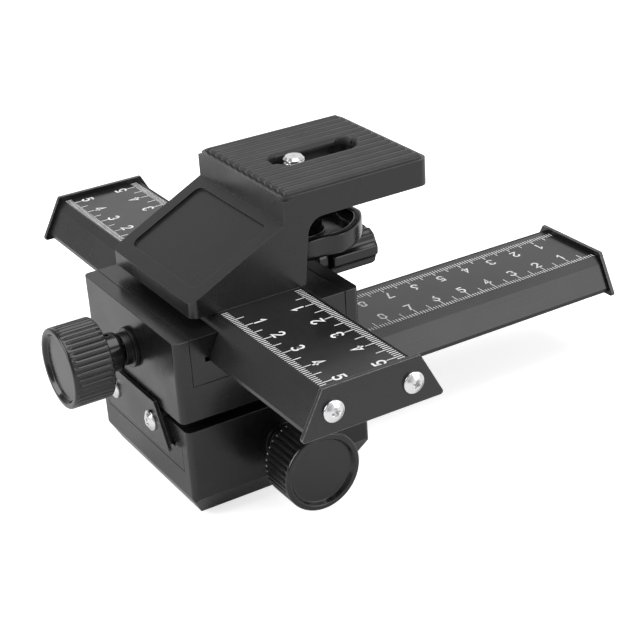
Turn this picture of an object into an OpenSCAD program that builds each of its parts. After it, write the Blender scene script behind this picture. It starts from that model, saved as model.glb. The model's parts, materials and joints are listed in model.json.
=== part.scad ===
// Two-axis macro focusing rail: two crossed dovetail rails with rack drives and a camera platform.
// The frame's origin is the mouth of the tripod thread in the base's underside. +Z is up,
// X runs along the upper rail and Y along the lower one.
// Both ways are drawn alike, in a frame of their own: X along the rail, Y across it, Z up
// from the rail's ruler surface. at_lower() and at_upper() put them in their places.

/* [Housings] */
// Thickness of the liner's cheeks beside the rail's base
liner_cheek_t = 5.6; // [5:0.1:7]
// Height of the base housing, from its underside to the tops of its walls
base_h = 28; // [26.5:0.5:34]
// Height of the housing that rides on the lower rail
carriage_h = 24.7; // [23:0.1:30]
// Thickness of the walls beside each channel
wall_t = 4.6; // [3.5:0.1:5.5]
// Radius of the housings' upright corners
corner_r = 1.8; // [1:0.1:3]
// Width of the bevel round the foot of the base
foot_bevel = 3.3; // [1:0.1:4]
// Height of that bevel
foot_bevel_h = 6.2; // [2:0.1:7]
// Thickness of the liner's floor under each rail
liner_floor_t = 6.4; // [5:0.1:7.5]
// Place of the carriage along the lower rail's travel at rest, from the middle of the base
carriage_offset = -1.2; // [-2:0.1:2]

/* [Rails] */
// Length of each bare rail, without its end plates
rail_len = 160.8; // [130:1:200]
// Height of each rail
rail_h = 10.8; // [10:0.1:13]
// How far each rail stands above the walls of its housing
rail_proud = 3.2; // [2:0.1:4]
// Width of the flat top with the ruler
rail_flat_w = 27; // [25:0.5:30]
// Width across the shoulders, where the dovetail starts
rail_top_w = 30.8; // [28:0.2:32]
// Width of the rail's base
rail_base_w = 38.6; // [36:0.1:42]
// Height of the bevel beside the flat top
rail_bevel_h = 2.3; // [0.5:0.1:2.8]
// Height of the upright land along the rail's base
rail_land_h = 1.2; // [0.4:0.1:1.5]
// Depth of the groove that holds the rack
groove_h = 3; // [2.6:0.1:4]
// Running gap between each rail and its liner
slide_gap = 0.12; // [0.08:0.01:0.2]

/* [End plates] */
// Thickness of an end plate
end_plate_t = 1.2; // [0.8:0.1:2]
// How far an end plate stands out beside the dovetail
end_plate_rim = 1.2; // [0.5:0.1:1.5]
// How far an end plate stands out above the ruler surface
end_plate_top = 1.4; // [0.5:0.1:2]
// How far an end plate stands out below the rail's base
end_plate_foot = 1.2; // [0.5:0.1:1.5]
// Distance between its two screws
end_screw_pitch = 24; // [20:0.5:26]
// Depth of the two screws below the ruler surface
end_screw_drop = 5.5; // [4:0.5:7]
// Diameter of the domed screw heads
pan_head_d = 6.2; // [5:0.1:6.5]
// Height of the domed screw heads
pan_head_h = 1.9; // [1.2:0.1:2.4]
// Gap between the carriage and the lower rail's near end plate
near_plate_gap = 0.2; // [0.2:0.1:1]

/* [Scales] */
// Width of each scale strip
scale_w = 26; // [22:0.5:26]
// Thickness of each scale strip
scale_t = 0.3; // [0.2:0.05:0.5]
// How far each strip lies below the lips of its recess
scale_sink = 0.15; // [0.05:0.05:0.3]

/* [Rack drive] */
// Gear module of rack and pinion
gear_module = 0.8; // [0.7:0.05:0.9]
// Teeth of each pinion
pinion_teeth = 13; // [12:1:14]
// Width of rack and pinion
gear_w = 8; // [6:0.5:9]
// Free play between the teeth along the pitch line
backlash = 0.08; // [0.05:0.01:0.15]
// Diameter of the drive shafts
shaft_d = 5; // [4:0.1:5.5]
// Running gap of shafts and screws in their bores
shaft_gap = 0.05; // [0.02:0.01:0.09]
// Outer diameter of the bearing bushes
bush_d = 7.4; // [6.8:0.1:8]
// Diameter of the outer bushes' flanges
bush_flange_d = 12; // [10.5:0.1:13]
// Diameter of the collar in front of each flange
bush_collar_d = 9.7; // [8:0.1:10]

/* [Knobs] */
// Diameter of the drive knobs
drive_knob_d = 23.7; // [20:0.1:26]
// Length of a drive knob's grip
drive_knob_len = 12.3; // [11:0.1:18]
// Flutes round a drive knob
drive_knob_flutes = 40; // [24:1:48]
// Depth of the dish in a drive knob's face
knob_dish = 1.2; // [0.6:0.1:2]
// Width of the rim round the dish
knob_rim = 1.7; // [1.2:0.1:3]
// Diameter of the smooth hub behind the knob
hub_d = 11.3; // [10:0.1:14]
// Length of the hub
hub_len = 6.4; // [4:0.1:8]
// Gap between the housing's face and the hub
hub_gap = 3.7; // [2:0.1:5]
// Diameter of the lock knobs
lock_knob_d = 12.4; // [11:0.1:13]
// Length of a lock knob's grip
lock_knob_len = 17; // [10:0.5:18]
// Diameter of the neck between a lock knob and its screw
lock_neck_d = 8; // [6.5:0.1:9]
// Length of that neck
lock_neck_len = 3.2; // [3:0.1:8]
// Gap between the housing's face and the neck
lock_neck_gap = 2.4; // [1.5:0.1:6]
// Diameter of the lock screws
lock_screw_d = 4; // [3:0.1:4.2]
// Depth of the lock screws' axes below the tops of the housings' walls
lock_depth = 2.6; // [2.6:0.1:4]
// How far the clamp gib moves to grip the rail
gib_travel = 0.2; // [0.1:0.05:0.3]

/* [Camera platform] */
// Width of the platform and its bracket along the upper rail
platform_w = 49.7; // [46:0.1:54]
// Depth of the platform across the upper rail
platform_len = 48.7; // [46:0.1:54]
// Height of the platform's rim above the ruler surface
platform_top = 27.3; // [26.5:0.1:32]
// Height of the platform's sides
platform_t = 8; // [7.5:0.1:9]
// Radius of the platform's corners
platform_r = 3.3; // [2:0.1:4]
// Thickness of the plate inside the rim, at the slot
platform_plate_t = 6; // [5:0.1:6.5]
// Distance of the platform's front wall from the upper rail's middle
platform_front = 9.6; // [8:0.1:12]
// Distance of the bracket's front lip from the rail's middle
bracket_front = 21.2; // [19:0.1:24]
// Height of the front lip
bracket_lip_h = 4.3; // [3:0.1:5]
// Wall thickness of the bracket
bracket_wall = 3.6; // [3:0.1:4]
// Radius of the arch under the platform
arch_r = 5.2; // [3:0.1:6]
// Depth of the panel recess in the slanted face
panel_depth = 0.7; // [0.3:0.1:1]
// Width of the platform's slot
slot_w = 9.4; // [8.5:0.1:10]
// Distance of the slot's near end from the platform's front wall
slot_start = 10.7; // [10:0.1:13]
// Distance of the slot's far end from the platform's back wall
slot_end = 9.5; // [7:0.1:14]

/* [Rubber] */
// Ribs of the platform's pad
pad_ribs = 13; // [9:1:17]
// Height of the pad's ribs
pad_rib_h = 1.2; // [0.8:0.1:1.6]
// Thickness of the pad's base sheet
pad_sheet_t = 1; // [0.8:0.1:1.5]
// Gap between the pad and the rim round it
pad_margin = 1.6; // [1:0.1:3]
// Ribs of the foot pad
foot_ribs = 12; // [8:2:24]
// Gap between the foot pad and the bevel, at the ribs' sides
foot_side_margin = 2.3; // [1:0.1:4]
// Gap between the foot pad and the bevel, at the ribs' ends
foot_end_margin = 1; // [0.5:0.1:3]
// Height of the foot pad's ribs
foot_rib_h = 0.8; // [0.4:0.1:1.2]
// Thickness of the foot pad's base sheet
foot_sheet_t = 0.6; // [0.4:0.1:1]

/* [Camera screw] */
// Diameter of the camera screw, a quarter inch
camera_screw_d = 6.35; // [6.3:0.05:6.4]
// Diameter of its shank, below the thread
camera_shank_d = 5; // [4:0.1:5.2]
// Height of the screw's tip above the platform's rim at rest
camera_screw_tip = 1; // [0:0.1:2]
// How far the screw lifts
screw_lift = 4; // [2:0.5:4.5]
// Distance of the screw from the slot's near end at rest
screw_place = 7.6; // [7.3:0.1:12]
// Diameter of the lobed knob
camera_knob_d = 37.6; // [30:0.1:38]
// Height of the lobed knob's rim
camera_knob_h = 6.5; // [4:0.1:7]
// Height of the knob's underside above the ruler surface
camera_knob_z = 2.5; // [1.5:0.1:3]
// Diameter of the knob's hub
camera_hub_d = 14; // [10:0.5:18]

/* [Tripod thread] */
// Wall diameter of the tripod thread's bush
tripod_bore_d = 6.4; // [6.4:0.05:6.6]
// Outer diameter of the bush
tripod_bush_d = 12; // [10:0.5:14]
// Height of the bush
tripod_bush_h = 6.5; // [5:0.1:7]

/* [Hidden] */
$fn = 48;

// Overrun of every cut past the face that it opens
overrun = 1;
// Gap round a piece that is seated in another piece
seat_gap = 0.1;
// Radial gap of a shaft or screw that is fixed in its hole
press_gap = 0.02;

// Heights of the two ruler surfaces in the object's frame
lower_z = base_h + rail_proud;
upper_z = lower_z + carriage_h + rail_proud;

// Each housing is square, and as wide as rail, cheeks and walls need
housing_w = rail_base_w + 2 * (liner_cheek_t + wall_t);

// Channel and liner
liner_w = housing_w - 2 * wall_t;
liner_top = -rail_proud;
liner_floor_z = -rail_h - slide_gap;
channel_floor_z = liner_floor_z - liner_floor_t - seat_gap;
relief_w = 1.2;
lock_dimple_h = 1.2;
gib_back_gap = 0.15;
gib_floor_gap = 0.05;

// Rack and pinion
pressure_angle = 20;
addendum_share = 0.7;
dedendum_share = 0.95;
tooth_addendum = addendum_share * gear_module;
tooth_dedendum = dedendum_share * gear_module;
tooth_pitch = PI * gear_module;
pinion_r = gear_module * pinion_teeth / 2;
pinion_base_r = pinion_r * cos(pressure_angle);
pinion_tip_r = pinion_r + tooth_addendum;
pinion_root_r = pinion_r - tooth_dedendum;
rack_tip_recess = 0.14;
rack_pitch_z = -rail_h + rack_tip_recess + tooth_addendum;
rack_back_z = -rail_h + groove_h;
drive_z = rack_pitch_z - pinion_r;
pocket_gap = 0.6;
pocket_r = pinion_tip_r + pocket_gap;
pocket_w = gear_w + 2 * pocket_gap;

// Places of the rails along their own ways
lower_rail_start = carriage_offset - housing_w / 2 - near_plate_gap;
upper_rail_start = -rail_len / 2;
rack_margin = 2;

// Screws: small ones hold racks, plates and liners, large ones join the carriages to their rails
small_screw_d = 3;
small_head_d = 5.6;
small_head_h = 2;
rack_screw_d = 2.5;
rack_head_d = 4.4;
rack_head_h = 1.5;
rack_screw_inset = 4;
rack_screw_bite = 4;
end_screw_bite = 9;
liner_screw_inset = 9.5;
liner_screw_side = 10.9;
liner_screw_x = housing_w / 2 - liner_screw_inset;
liner_screw_y = liner_w / 2 - liner_screw_side;
liner_screw_bite = 6;
large_screw_d = 4;
large_head_d = 6.8;
large_head_h = 3.4;
large_head_sink = 0.2;
fixing_inset = 11.5;
fixing_wall = 0.9;
fixing_x = housing_w / 2 - fixing_inset;
fixing_y = gear_w / 2 + fixing_wall + large_head_d / 2 + 2 * seat_gap;
fixing_bite = 6;
cross_l = 3;
cross_w = 0.8;
cross_h = 1;
hex_key_d = 3;

// Drive shaft and bearings
face_y = -housing_w / 2;
bush_flange_t = 1.2;
bush_collar_gap = 0.3;
bush_len = 9;
inner_bush_len = 6;
inner_bush_gap = 1;
hub_y = face_y - hub_gap;
knob_y = hub_y - hub_len;
knob_face_y = knob_y - drive_knob_len;
knob_seat = 9;
shaft_end_y = pocket_w / 2 + inner_bush_gap + inner_bush_len;
grub_d = 3;
grub_len = 3.2;
flute_r = 0.8;
flute_depth = 0.45;
hub_round = 1.4;
knob_chamfer = 0.5;

// Lock knob and screw
lock_drop = rail_proud + lock_depth;
lock_lobes = 6;
lock_lobe_r = 2;
lock_lobe_depth = 1;
lock_seat = 8;
lock_chamfer = 0.8;

// Bracket and platform, seen along the upper rail
platform_back = platform_front + platform_len;
platform_under = platform_top - platform_t;
plate_under = platform_top - pad_sheet_t - platform_plate_t;
slope_fold_drop = 7.7;
slope_top = platform_top - slope_fold_drop;
slope = (slope_top - bracket_lip_h) / (platform_front + bracket_front);
slope_angle = atan(slope);
leg_back_top = platform_front + 2 * bracket_wall;
leg_back_foot = leg_back_top - bracket_wall / 2;
bracket_floor_t = 5;
bracket_floor_back = 6.5;
bracket_corner_r = 2.5;
boss_d = 8;
boss_h = 9;
boss_inset = 6.85;
boss_x = platform_w / 2 - boss_inset;
boss_y = fixing_y;
boss_roof = 1;
bracket_bites = [bracket_floor_t - boss_roof, boss_h - boss_roof];
panel_side = 4.7;
panel_low = 4.6;
panel_high = 3.1;
panel_r = 2.5;
ledge_t = 1.5;
ledge_w = 7;
slot_near = platform_front + slot_start;
slot_far = platform_back - slot_end;

// Camera screw, its slider and its ring
screw_y = slot_near + screw_place;
slider_gap = 0.1;
slider_len = 14;
slider_t = 1.2;
ring_d = 8.6;
ring_t = 0.7;
ledge_top = plate_under + ledge_t;
slider_top = ledge_top + slider_t;
thread_gap = 0.1;
thread_foot = slider_top + ring_t + thread_gap;
hub_clearance = 0.4;
camera_hub_top = plate_under - screw_lift - hub_clearance;
camera_lobes = 4;
camera_lobe_turn = 85;
camera_lobe_r = 18;
camera_lobe_depth = 1.3;
camera_dish = 4.2;
camera_dish_slope = 0.8;
camera_rim = 2.4;
camera_knob_round = 1.6;
tip_chamfer = 0.7;
camera_seat_z = camera_knob_z + camera_knob_h / 2;

// Foot pad, and the radius of the end plates' lower corners
foot_hole_margin = 2;
foot_w = housing_w - 2 * (foot_bevel + foot_side_margin);
foot_len = housing_w - 2 * (foot_bevel + foot_end_margin);
end_plate_r = 0.8;

// Frames of the two ways
module at_lower() { translate([0, 0, lower_z]) rotate([0, 0, 90]) children(); }
module at_upper() { translate([0, carriage_offset, upper_z]) children(); }

// A profile in Y and Z, drawn along X over a length that starts at x0
module along_x(x0, len) { translate([x0, 0, 0]) rotate([90, 0, 90]) linear_extrude(len) children(); }

// A profile in X and Z, drawn along Y and centred on it
module along_y(len) { rotate([90, 0, 0]) linear_extrude(len, center = true) children(); }

// A cylinder along Y from y0 to y1
module rod_y(d, y0, y1) { translate([0, y1, 0]) rotate([90, 0, 0]) cylinder(d = d, h = y1 - y0); }

// A flat rectangle with round corners
module round_rect(w, d, r) {
  square([w - 2 * r, d], center = true);
  square([w, d - 2 * r], center = true);
  for (x = [-1, 1], y = [-1, 1]) translate([x * (w / 2 - r), y * (d / 2 - r)]) circle(r);
}

// A flat slot with round ends, along Y from y0 to y1
module slot_shape(w, y0, y1) {
  translate([-w / 2, y0 + w / 2]) square([w, y1 - y0 - w]);
  translate([0, y0 + w / 2]) circle(d = w);
  translate([0, y1 - w / 2]) circle(d = w);
}

// Rail: half its width at a height z on the dovetail's side
rail_side_slope = (rail_base_w - rail_top_w) / 2 / (rail_h - rail_bevel_h - rail_land_h);
function rail_half(z) = rail_top_w / 2 - rail_side_slope * (z + rail_bevel_h);

module rail_profile() {
  polygon([
    [-rail_flat_w / 2, 0], [rail_flat_w / 2, 0], [rail_top_w / 2, -rail_bevel_h],
    [rail_base_w / 2, -rail_h + rail_land_h], [rail_base_w / 2, -rail_h],
    [gear_w / 2 + seat_gap, -rail_h], [gear_w / 2 + seat_gap, rack_back_z],
    [-gear_w / 2 - seat_gap, rack_back_z], [-gear_w / 2 - seat_gap, -rail_h],
    [-rail_base_w / 2, -rail_h], [-rail_base_w / 2, -rail_h + rail_land_h],
    [-rail_top_w / 2, -rail_bevel_h]
  ]);
}

// Recess of a scale strip between x0 and x1
module scale_recess(x0, x1) {
  translate([x0, -scale_w / 2 - seat_gap, -scale_t - scale_sink])
    cube([x1 - x0, scale_w + 2 * seat_gap, scale_t + scale_sink + overrun]);
}

module scale_strip(x0, x1) {
  translate([x0 + seat_gap, -scale_w / 2, -scale_t - scale_sink])
    cube([x1 - x0 - 2 * seat_gap, scale_w, scale_t]);
}

// Screw holes of a rail: the end plates' at both ends and the rack's in the groove
module rail_holes(x0) {
  for (s = [-1, 1]) {
    for (x = [x0 - overrun, x0 + rail_len - end_screw_bite])
      translate([x, s * end_screw_pitch / 2, -end_screw_drop])
        rotate([0, 90, 0]) cylinder(d = small_screw_d + 2 * press_gap, h = end_screw_bite + overrun);
  }
  for (x = rack_screw_places(x0))
    translate([x, 0, rack_back_z - overrun])
      cylinder(d = rack_screw_d + 2 * press_gap, h = rack_screw_bite + overrun);
}

// Counterbored holes of four large screws that come up through a rail
module up_screw_holes(cx, dx, dy) {
  for (x = [-1, 1], y = [-1, 1]) translate([cx + x * dx, y * dy, -rail_h - overrun]) {
    cylinder(d = large_screw_d + 2 * press_gap, h = rail_h + 2 * overrun);
    cylinder(d = large_head_d + 2 * seat_gap, h = large_head_h + large_head_sink + overrun);
  }
}

// The screws themselves: bites says how far the front pair and the rear pair reach above the rail
module up_screws(cx, dx, dy, bites) {
  for (x = [-1, 1], row = [0, 1])
    translate([cx + x * dx, (2 * row - 1) * dy, -rail_h + large_head_sink]) difference() {
      union() {
        cylinder(d = large_head_d, h = large_head_h);
        cylinder(d = large_screw_d, h = rail_h - large_head_sink + bites[row] - seat_gap);
      }
      translate([0, 0, -overrun]) cylinder(d = hex_key_d, h = large_head_h / 2 + overrun, $fn = 6);
    }
}

// Rack: its teeth point down, with a gap over the pinion at rest
function rack_first(x0) = ceil((x0 + rack_margin) / tooth_pitch);
function rack_last(x0) = floor((x0 + rail_len - rack_margin) / tooth_pitch) - 1;
function rack_screw_places(x0) = [
  rack_first(x0) * tooth_pitch + rack_screw_inset, (rack_last(x0) + 1) * tooth_pitch - rack_screw_inset
];

module rack(x0) {
  first = rack_first(x0);
  last = rack_last(x0);
  half_pitch_line = tooth_pitch / 4 - backlash / 2;
  half_root = half_pitch_line + tooth_dedendum * tan(pressure_angle);
  half_tip = half_pitch_line - tooth_addendum * tan(pressure_angle);
  root_z = rack_pitch_z + tooth_dedendum;
  tip_z = rack_pitch_z - tooth_addendum;
  teeth = [for (i = [first:last]) each let (c = (i + 0.5) * tooth_pitch)
    [[c - half_root, root_z], [c - half_tip, tip_z], [c + half_tip, tip_z], [c + half_root, root_z]]];
  difference() {
    along_y(gear_w) polygon(concat(
      [[first * tooth_pitch, rack_back_z], [first * tooth_pitch, root_z]],
      teeth,
      [[(last + 1) * tooth_pitch, root_z], [(last + 1) * tooth_pitch, rack_back_z]]
    ));
    for (x = rack_screw_places(x0)) translate([x, 0, tip_z - overrun]) {
      cylinder(d = rack_screw_d + 2 * press_gap, h = groove_h + 2 * overrun);
      cylinder(d = rack_head_d + 2 * press_gap, h = rack_head_h + overrun);
    }
  }
}

module rack_screws(x0) {
  tip_z = rack_pitch_z - tooth_addendum;
  for (x = rack_screw_places(x0)) translate([x, 0, tip_z]) difference() {
    union() {
      cylinder(d = rack_head_d, h = rack_head_h);
      cylinder(d = rack_screw_d, h = rack_back_z - tip_z + rack_screw_bite);
    }
    cross_recess();
  }
}

// Pinion: involute teeth, one of them straight up at rest
function inv_deg(a) = tan(a) * 180 / PI - a;
function tooth_half(r) =
  90 / pinion_teeth - backlash / pinion_r * 45 / PI + inv_deg(pressure_angle)
  - (r > pinion_base_r ? inv_deg(acos(pinion_base_r / r)) : 0);
tooth_steps = 3;
flank_radii = concat(
  [pinion_root_r],
  [for (i = [0:tooth_steps]) pinion_base_r + (pinion_tip_r - pinion_base_r) * i / tooth_steps]
);

module pinion() {
  count = len(flank_radii);
  outline = [for (k = [0:pinion_teeth - 1]) each concat(
    [for (i = [0:count - 1]) [flank_radii[i], 360 * k / pinion_teeth - tooth_half(flank_radii[i])]],
    [for (i = [count - 1:-1:0]) [flank_radii[i], 360 * k / pinion_teeth + tooth_half(flank_radii[i])]]
  )];
  translate([0, 0, drive_z]) difference() {
    along_y(gear_w) polygon([for (p = outline) [p[0] * sin(p[1]), p[0] * cos(p[1])]]);
    rod_y(shaft_d + 2 * press_gap, -gear_w, gear_w);
  }
}

// A cross recess at the origin, cut upwards into a screw head
module cross_recess() {
  for (a = [0, 90]) rotate([0, 0, a]) translate([0, 0, cross_h / 2 - overrun / 2])
    cube([cross_l, cross_w, cross_h + overrun], center = true);
}

// End plate: the dovetail's sides with a rim all round them, on the +X side of x
function arc_points(cy, cz, r, a0, a1, steps) =
  [for (i = [0:steps]) let (a = a0 + (a1 - a0) * i / steps) [cy + r * cos(a), cz + r * sin(a)]];

module end_plate(x) {
  r = end_plate_r;
  side_angle = atan(rail_side_slope);
  low_z = r - rail_h - end_plate_foot;
  low_y = rail_half(low_z) + end_plate_rim - r / cos(side_angle);
  right = concat(
    [[rail_half(end_plate_top) + end_plate_rim, end_plate_top]],
    arc_points(low_y, low_z, r, side_angle, -90, 5)
  );
  left = [for (i = [len(right) - 1:-1:0]) [-right[i][0], right[i][1]]];
  difference() {
    along_x(x, end_plate_t) polygon(concat(right, left));
    for (s = [-1, 1]) translate([x - overrun, s * end_screw_pitch / 2, -end_screw_drop])
      rotate([0, 90, 0]) cylinder(d = small_screw_d + 2 * press_gap, h = end_plate_t + 2 * overrun);
  }
}

// Domed screw with a cross recess: its head points to -Z, its shank goes up
module pan_screw(shank) {
  dome_r = (pow(pan_head_d / 2, 2) + pow(pan_head_h, 2)) / (2 * pan_head_h);
  difference() {
    union() {
      intersection() {
        translate([0, 0, dome_r - pan_head_h]) sphere(dome_r, $fn = 64);
        translate([0, 0, -pan_head_h]) cylinder(d = pan_head_d, h = pan_head_h);
      }
      translate([0, 0, -pan_head_h / 2]) cylinder(d = small_screw_d, h = shank + pan_head_h / 2);
    }
    translate([0, 0, -pan_head_h]) cross_recess();
  }
}

module end_screws(x0) {
  for (s = [-1, 1]) {
    translate([x0 - end_plate_t, s * end_screw_pitch / 2, -end_screw_drop])
      rotate([0, 90, 0]) pan_screw(end_screw_bite);
    translate([x0 + rail_len + end_plate_t, s * end_screw_pitch / 2, -end_screw_drop])
      rotate([0, -90, 0]) pan_screw(end_screw_bite);
  }
}

// What both housings share, cut from a block whose underside is h below the walls' tops
module way_housing(h) {
  difference() {
    translate([0, 0, liner_top - h]) linear_extrude(h) round_rect(housing_w, housing_w, corner_r);
    translate([-housing_w / 2 - overrun, -liner_w / 2, channel_floor_z])
      cube([housing_w + 2 * overrun, liner_w, liner_top - channel_floor_z + overrun]);
    translate([0, 0, drive_z]) {
      rod_y(bush_d + 2 * press_gap, face_y - overrun, face_y + bush_len);
      rod_y(shaft_d + 2 * pocket_gap, face_y, shaft_end_y);
      rod_y(2 * pocket_r, -pocket_w / 2, pocket_w / 2);
      rod_y(bush_d + 2 * press_gap, 0, shaft_end_y + inner_bush_gap);
    }
    translate([0, 0, -lock_drop])
      rod_y(lock_screw_d + 2 * shaft_gap, liner_w / 2 - overrun, housing_w / 2 + overrun);
    liner_screw_places(channel_floor_z - liner_screw_bite)
      cylinder(d = small_screw_d + 2 * press_gap, h = liner_screw_bite + overrun);
  }
}

module liner_screw_places(z) {
  for (x = [-1, 1], y = [-1, 1]) translate([x * liner_screw_x, y * liner_screw_y, z]) children();
}

module liner_screws() {
  liner_screw_places(channel_floor_z - liner_screw_bite) cylinder(
    d = small_screw_d, h = liner_screw_bite + seat_gap + liner_floor_t - small_head_h);
  liner_screw_places(liner_floor_z - small_head_h - seat_gap) difference() {
    cylinder(d = small_head_d, h = small_head_h);
    translate([0, 0, small_head_h - cross_h]) cross_recess_up();
  }
}

// A cross recess that is cut downwards from a head's upper face
module cross_recess_up() {
  for (a = [0, 90]) rotate([0, 0, a]) translate([0, 0, cross_h / 2 + overrun / 2])
    cube([cross_l, cross_w, cross_h + overrun], center = true);
}

// Liner: a floor and the fixed cheek of the dovetail, with a relief at the corner
module channel_liner() {
  back = liner_w / 2 - seat_gap;
  low = channel_floor_z + seat_gap;
  land_z = -rail_h + rail_land_h;
  difference() {
    along_x(-housing_w / 2, housing_w) polygon([
      [-back, liner_top], [-rail_half(liner_top) - slide_gap, liner_top],
      [-rail_base_w / 2 - slide_gap, land_z], [-rail_base_w / 2 - slide_gap - relief_w, land_z],
      [-rail_base_w / 2 - slide_gap - relief_w, liner_floor_z], [back, liner_floor_z],
      [back, low], [-back, low]
    ]);
    translate([0, 0, drive_z]) {
      rod_y(shaft_d + 2 * pocket_gap, -housing_w, 0);
      rod_y(bush_d + 2 * press_gap + 2 * seat_gap, -housing_w, face_y + bush_len + seat_gap);
      rod_y(2 * pocket_r, -pocket_w / 2, pocket_w / 2);
      rod_y(bush_d + 2 * press_gap + 2 * seat_gap, 0, shaft_end_y + inner_bush_gap);
    }
    liner_screw_places(low - overrun)
      cylinder(d = small_screw_d + 2 * press_gap, h = liner_floor_t + 2 * overrun);
    liner_screw_places(liner_floor_z - small_head_h - seat_gap)
      cylinder(d = small_head_d + 2 * press_gap, h = small_head_h + seat_gap + overrun);
  }
}

// Clamp gib: the moving cheek of the dovetail, with a dimple for the lock screw
module clamp_gib() {
  back = liner_w / 2 - gib_back_gap;
  near = slide_gap + gib_travel;
  low = liner_floor_z + gib_floor_gap;
  difference() {
    along_x(-housing_w / 2, housing_w) polygon([
      [rail_half(liner_top) + near, liner_top], [back, liner_top], [back, low],
      [rail_base_w / 2 + near, low], [rail_base_w / 2 + near, -rail_h + rail_land_h]
    ]);
    translate([0, 0, -lock_drop])
      rod_y(lock_screw_d + 2 * shaft_gap, back - lock_dimple_h, back + overrun);
  }
}

// Drive: bushes, shaft, hub, knob and grub screw, all on the shaft's axis along Y
module outer_bush() {
  translate([0, 0, drive_z]) difference() {
    union() {
      rod_y(bush_d, face_y, face_y + bush_len);
      rod_y(bush_flange_d, face_y - bush_flange_t, face_y);
      rod_y(bush_collar_d, hub_y + bush_collar_gap, face_y);
    }
    rod_y(shaft_d + 2 * shaft_gap, face_y - housing_w, face_y + housing_w);
  }
}

module inner_bush() {
  translate([0, 0, drive_z]) difference() {
    rod_y(bush_d, shaft_end_y - inner_bush_len, shaft_end_y + inner_bush_gap / 2);
    rod_y(shaft_d + 2 * shaft_gap, 0, shaft_end_y + overrun);
  }
}

module drive_shaft() {
  translate([0, 0, drive_z]) rod_y(shaft_d, knob_y - knob_seat, shaft_end_y);
}

// A round grip about the Y axis whose profile is given as radius and distance from its face
module turned_y(y_face, points) {
  translate([0, y_face, 0]) rotate([-90, 0, 0]) rotate_extrude() polygon(points);
}

module drive_hub() {
  r = hub_d / 2;
  translate([0, 0, drive_z]) difference() {
    turned_y(knob_y, concat(
      [[0, 0], [r, 0]],
      arc_points(r - hub_round, hub_len - hub_round, hub_round, 0, 90, 5),
      [[0, hub_len]]
    ));
    rod_y(shaft_d + 2 * press_gap, knob_y - overrun, hub_y + overrun);
    translate([0, knob_y + hub_len / 2, 0]) cylinder(d = grub_d + 2 * press_gap, h = hub_d);
  }
}

module drive_grub() {
  translate([0, knob_y + hub_len / 2, drive_z + shaft_d / 2 + seat_gap]) difference() {
    cylinder(d = grub_d, h = grub_len - seat_gap);
    translate([0, 0, grub_len / 2]) cylinder(d = grub_d / 2, h = grub_len, $fn = 6);
  }
}

module drive_knob() {
  r = drive_knob_d / 2;
  c = knob_chamfer;
  translate([0, 0, drive_z]) difference() {
    turned_y(knob_face_y, [
      [0, knob_dish], [r - knob_rim - c, knob_dish], [r - knob_rim, 0], [r - c, 0], [r, c],
      [r, drive_knob_len - c], [r - c, drive_knob_len], [0, drive_knob_len]
    ]);
    for (i = [0:drive_knob_flutes - 1]) rotate([0, 360 * i / drive_knob_flutes, 0])
      translate([0, 0, r + flute_r - flute_depth])
        rod_y(2 * flute_r, knob_face_y + 2 * c, knob_y + overrun);
    rod_y(shaft_d + 2 * press_gap, knob_y - knob_seat, knob_y + overrun);
  }
}

// Lock knob and screw about their own axis along Y
lock_neck_y = housing_w / 2 + lock_neck_gap;
lock_grip_y = lock_neck_y + lock_neck_len;

module lock_knob() {
  r = lock_knob_d / 2;
  c = lock_chamfer;
  l = lock_neck_len + lock_knob_len;
  n = lock_neck_len;
  translate([0, 0, -lock_drop]) difference() {
    turned_y(lock_neck_y, [
      [0, 0], [lock_neck_d / 2, 0], [lock_neck_d / 2, n], [r - c, n], [r, n + c],
      [r, l - c], [r - c, l], [0, l]
    ]);
    for (i = [0:lock_lobes - 1]) rotate([0, 360 * (i + 0.5) / lock_lobes, 0])
      translate([0, 0, r + lock_lobe_r - lock_lobe_depth])
        rod_y(2 * lock_lobe_r, lock_grip_y - overrun, lock_grip_y + lock_knob_len + overrun);
    rod_y(lock_screw_d + 2 * press_gap, lock_neck_y - overrun, lock_neck_y + lock_seat);
  }
}

module lock_screw() {
  tip = liner_w / 2 - gib_back_gap - lock_dimple_h + seat_gap / 2;
  translate([0, 0, -lock_drop]) rod_y(lock_screw_d, tip, lock_neck_y + lock_seat);
}

// Ribbed rubber sheet: its sheet lies at z = 0 to t and its ribs, along Y, stand on it
rib_foot_share = 0.5;
rib_side_share = 0.36;
rib_top_share = 0.2;
rib_shoulder_share = 0.72;

module ribbed_sheet(w, d, t, h, count) {
  pitch = w / count;
  ribs = [for (i = [0:count - 1]) each let (c = -w / 2 + (i + 0.5) * pitch) [
    [c - rib_foot_share * pitch, t], [c - rib_side_share * pitch, t + rib_shoulder_share * h],
    [c - rib_top_share * pitch, t + h], [c + rib_top_share * pitch, t + h],
    [c + rib_side_share * pitch, t + rib_shoulder_share * h]
  ]];
  along_y(d) polygon(concat([[-w / 2, 0]], ribs, [[w / 2, t], [w / 2, 0]]));
}

// Base
module base_housing() {
  color("#232325") difference() {
    intersection() {
      at_lower() way_housing(base_h);
      foot_bevel_block(0);
      foot_bevel_block(90);
    }
    translate([0, 0, -overrun])
      cylinder(d = tripod_bush_d + 2 * press_gap, h = tripod_bush_h + overrun);
  }
}

// An upright block whose lower edges along one direction are bevelled
module foot_bevel_block(turn) {
  w = housing_w / 2;
  rotate([0, 0, turn]) along_y(housing_w + 2 * overrun) polygon([
    [foot_bevel - w, 0], [w - foot_bevel, 0], [w, foot_bevel_h],
    [w, base_h + overrun], [-w, base_h + overrun], [-w, foot_bevel_h]
  ]);
}

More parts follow.
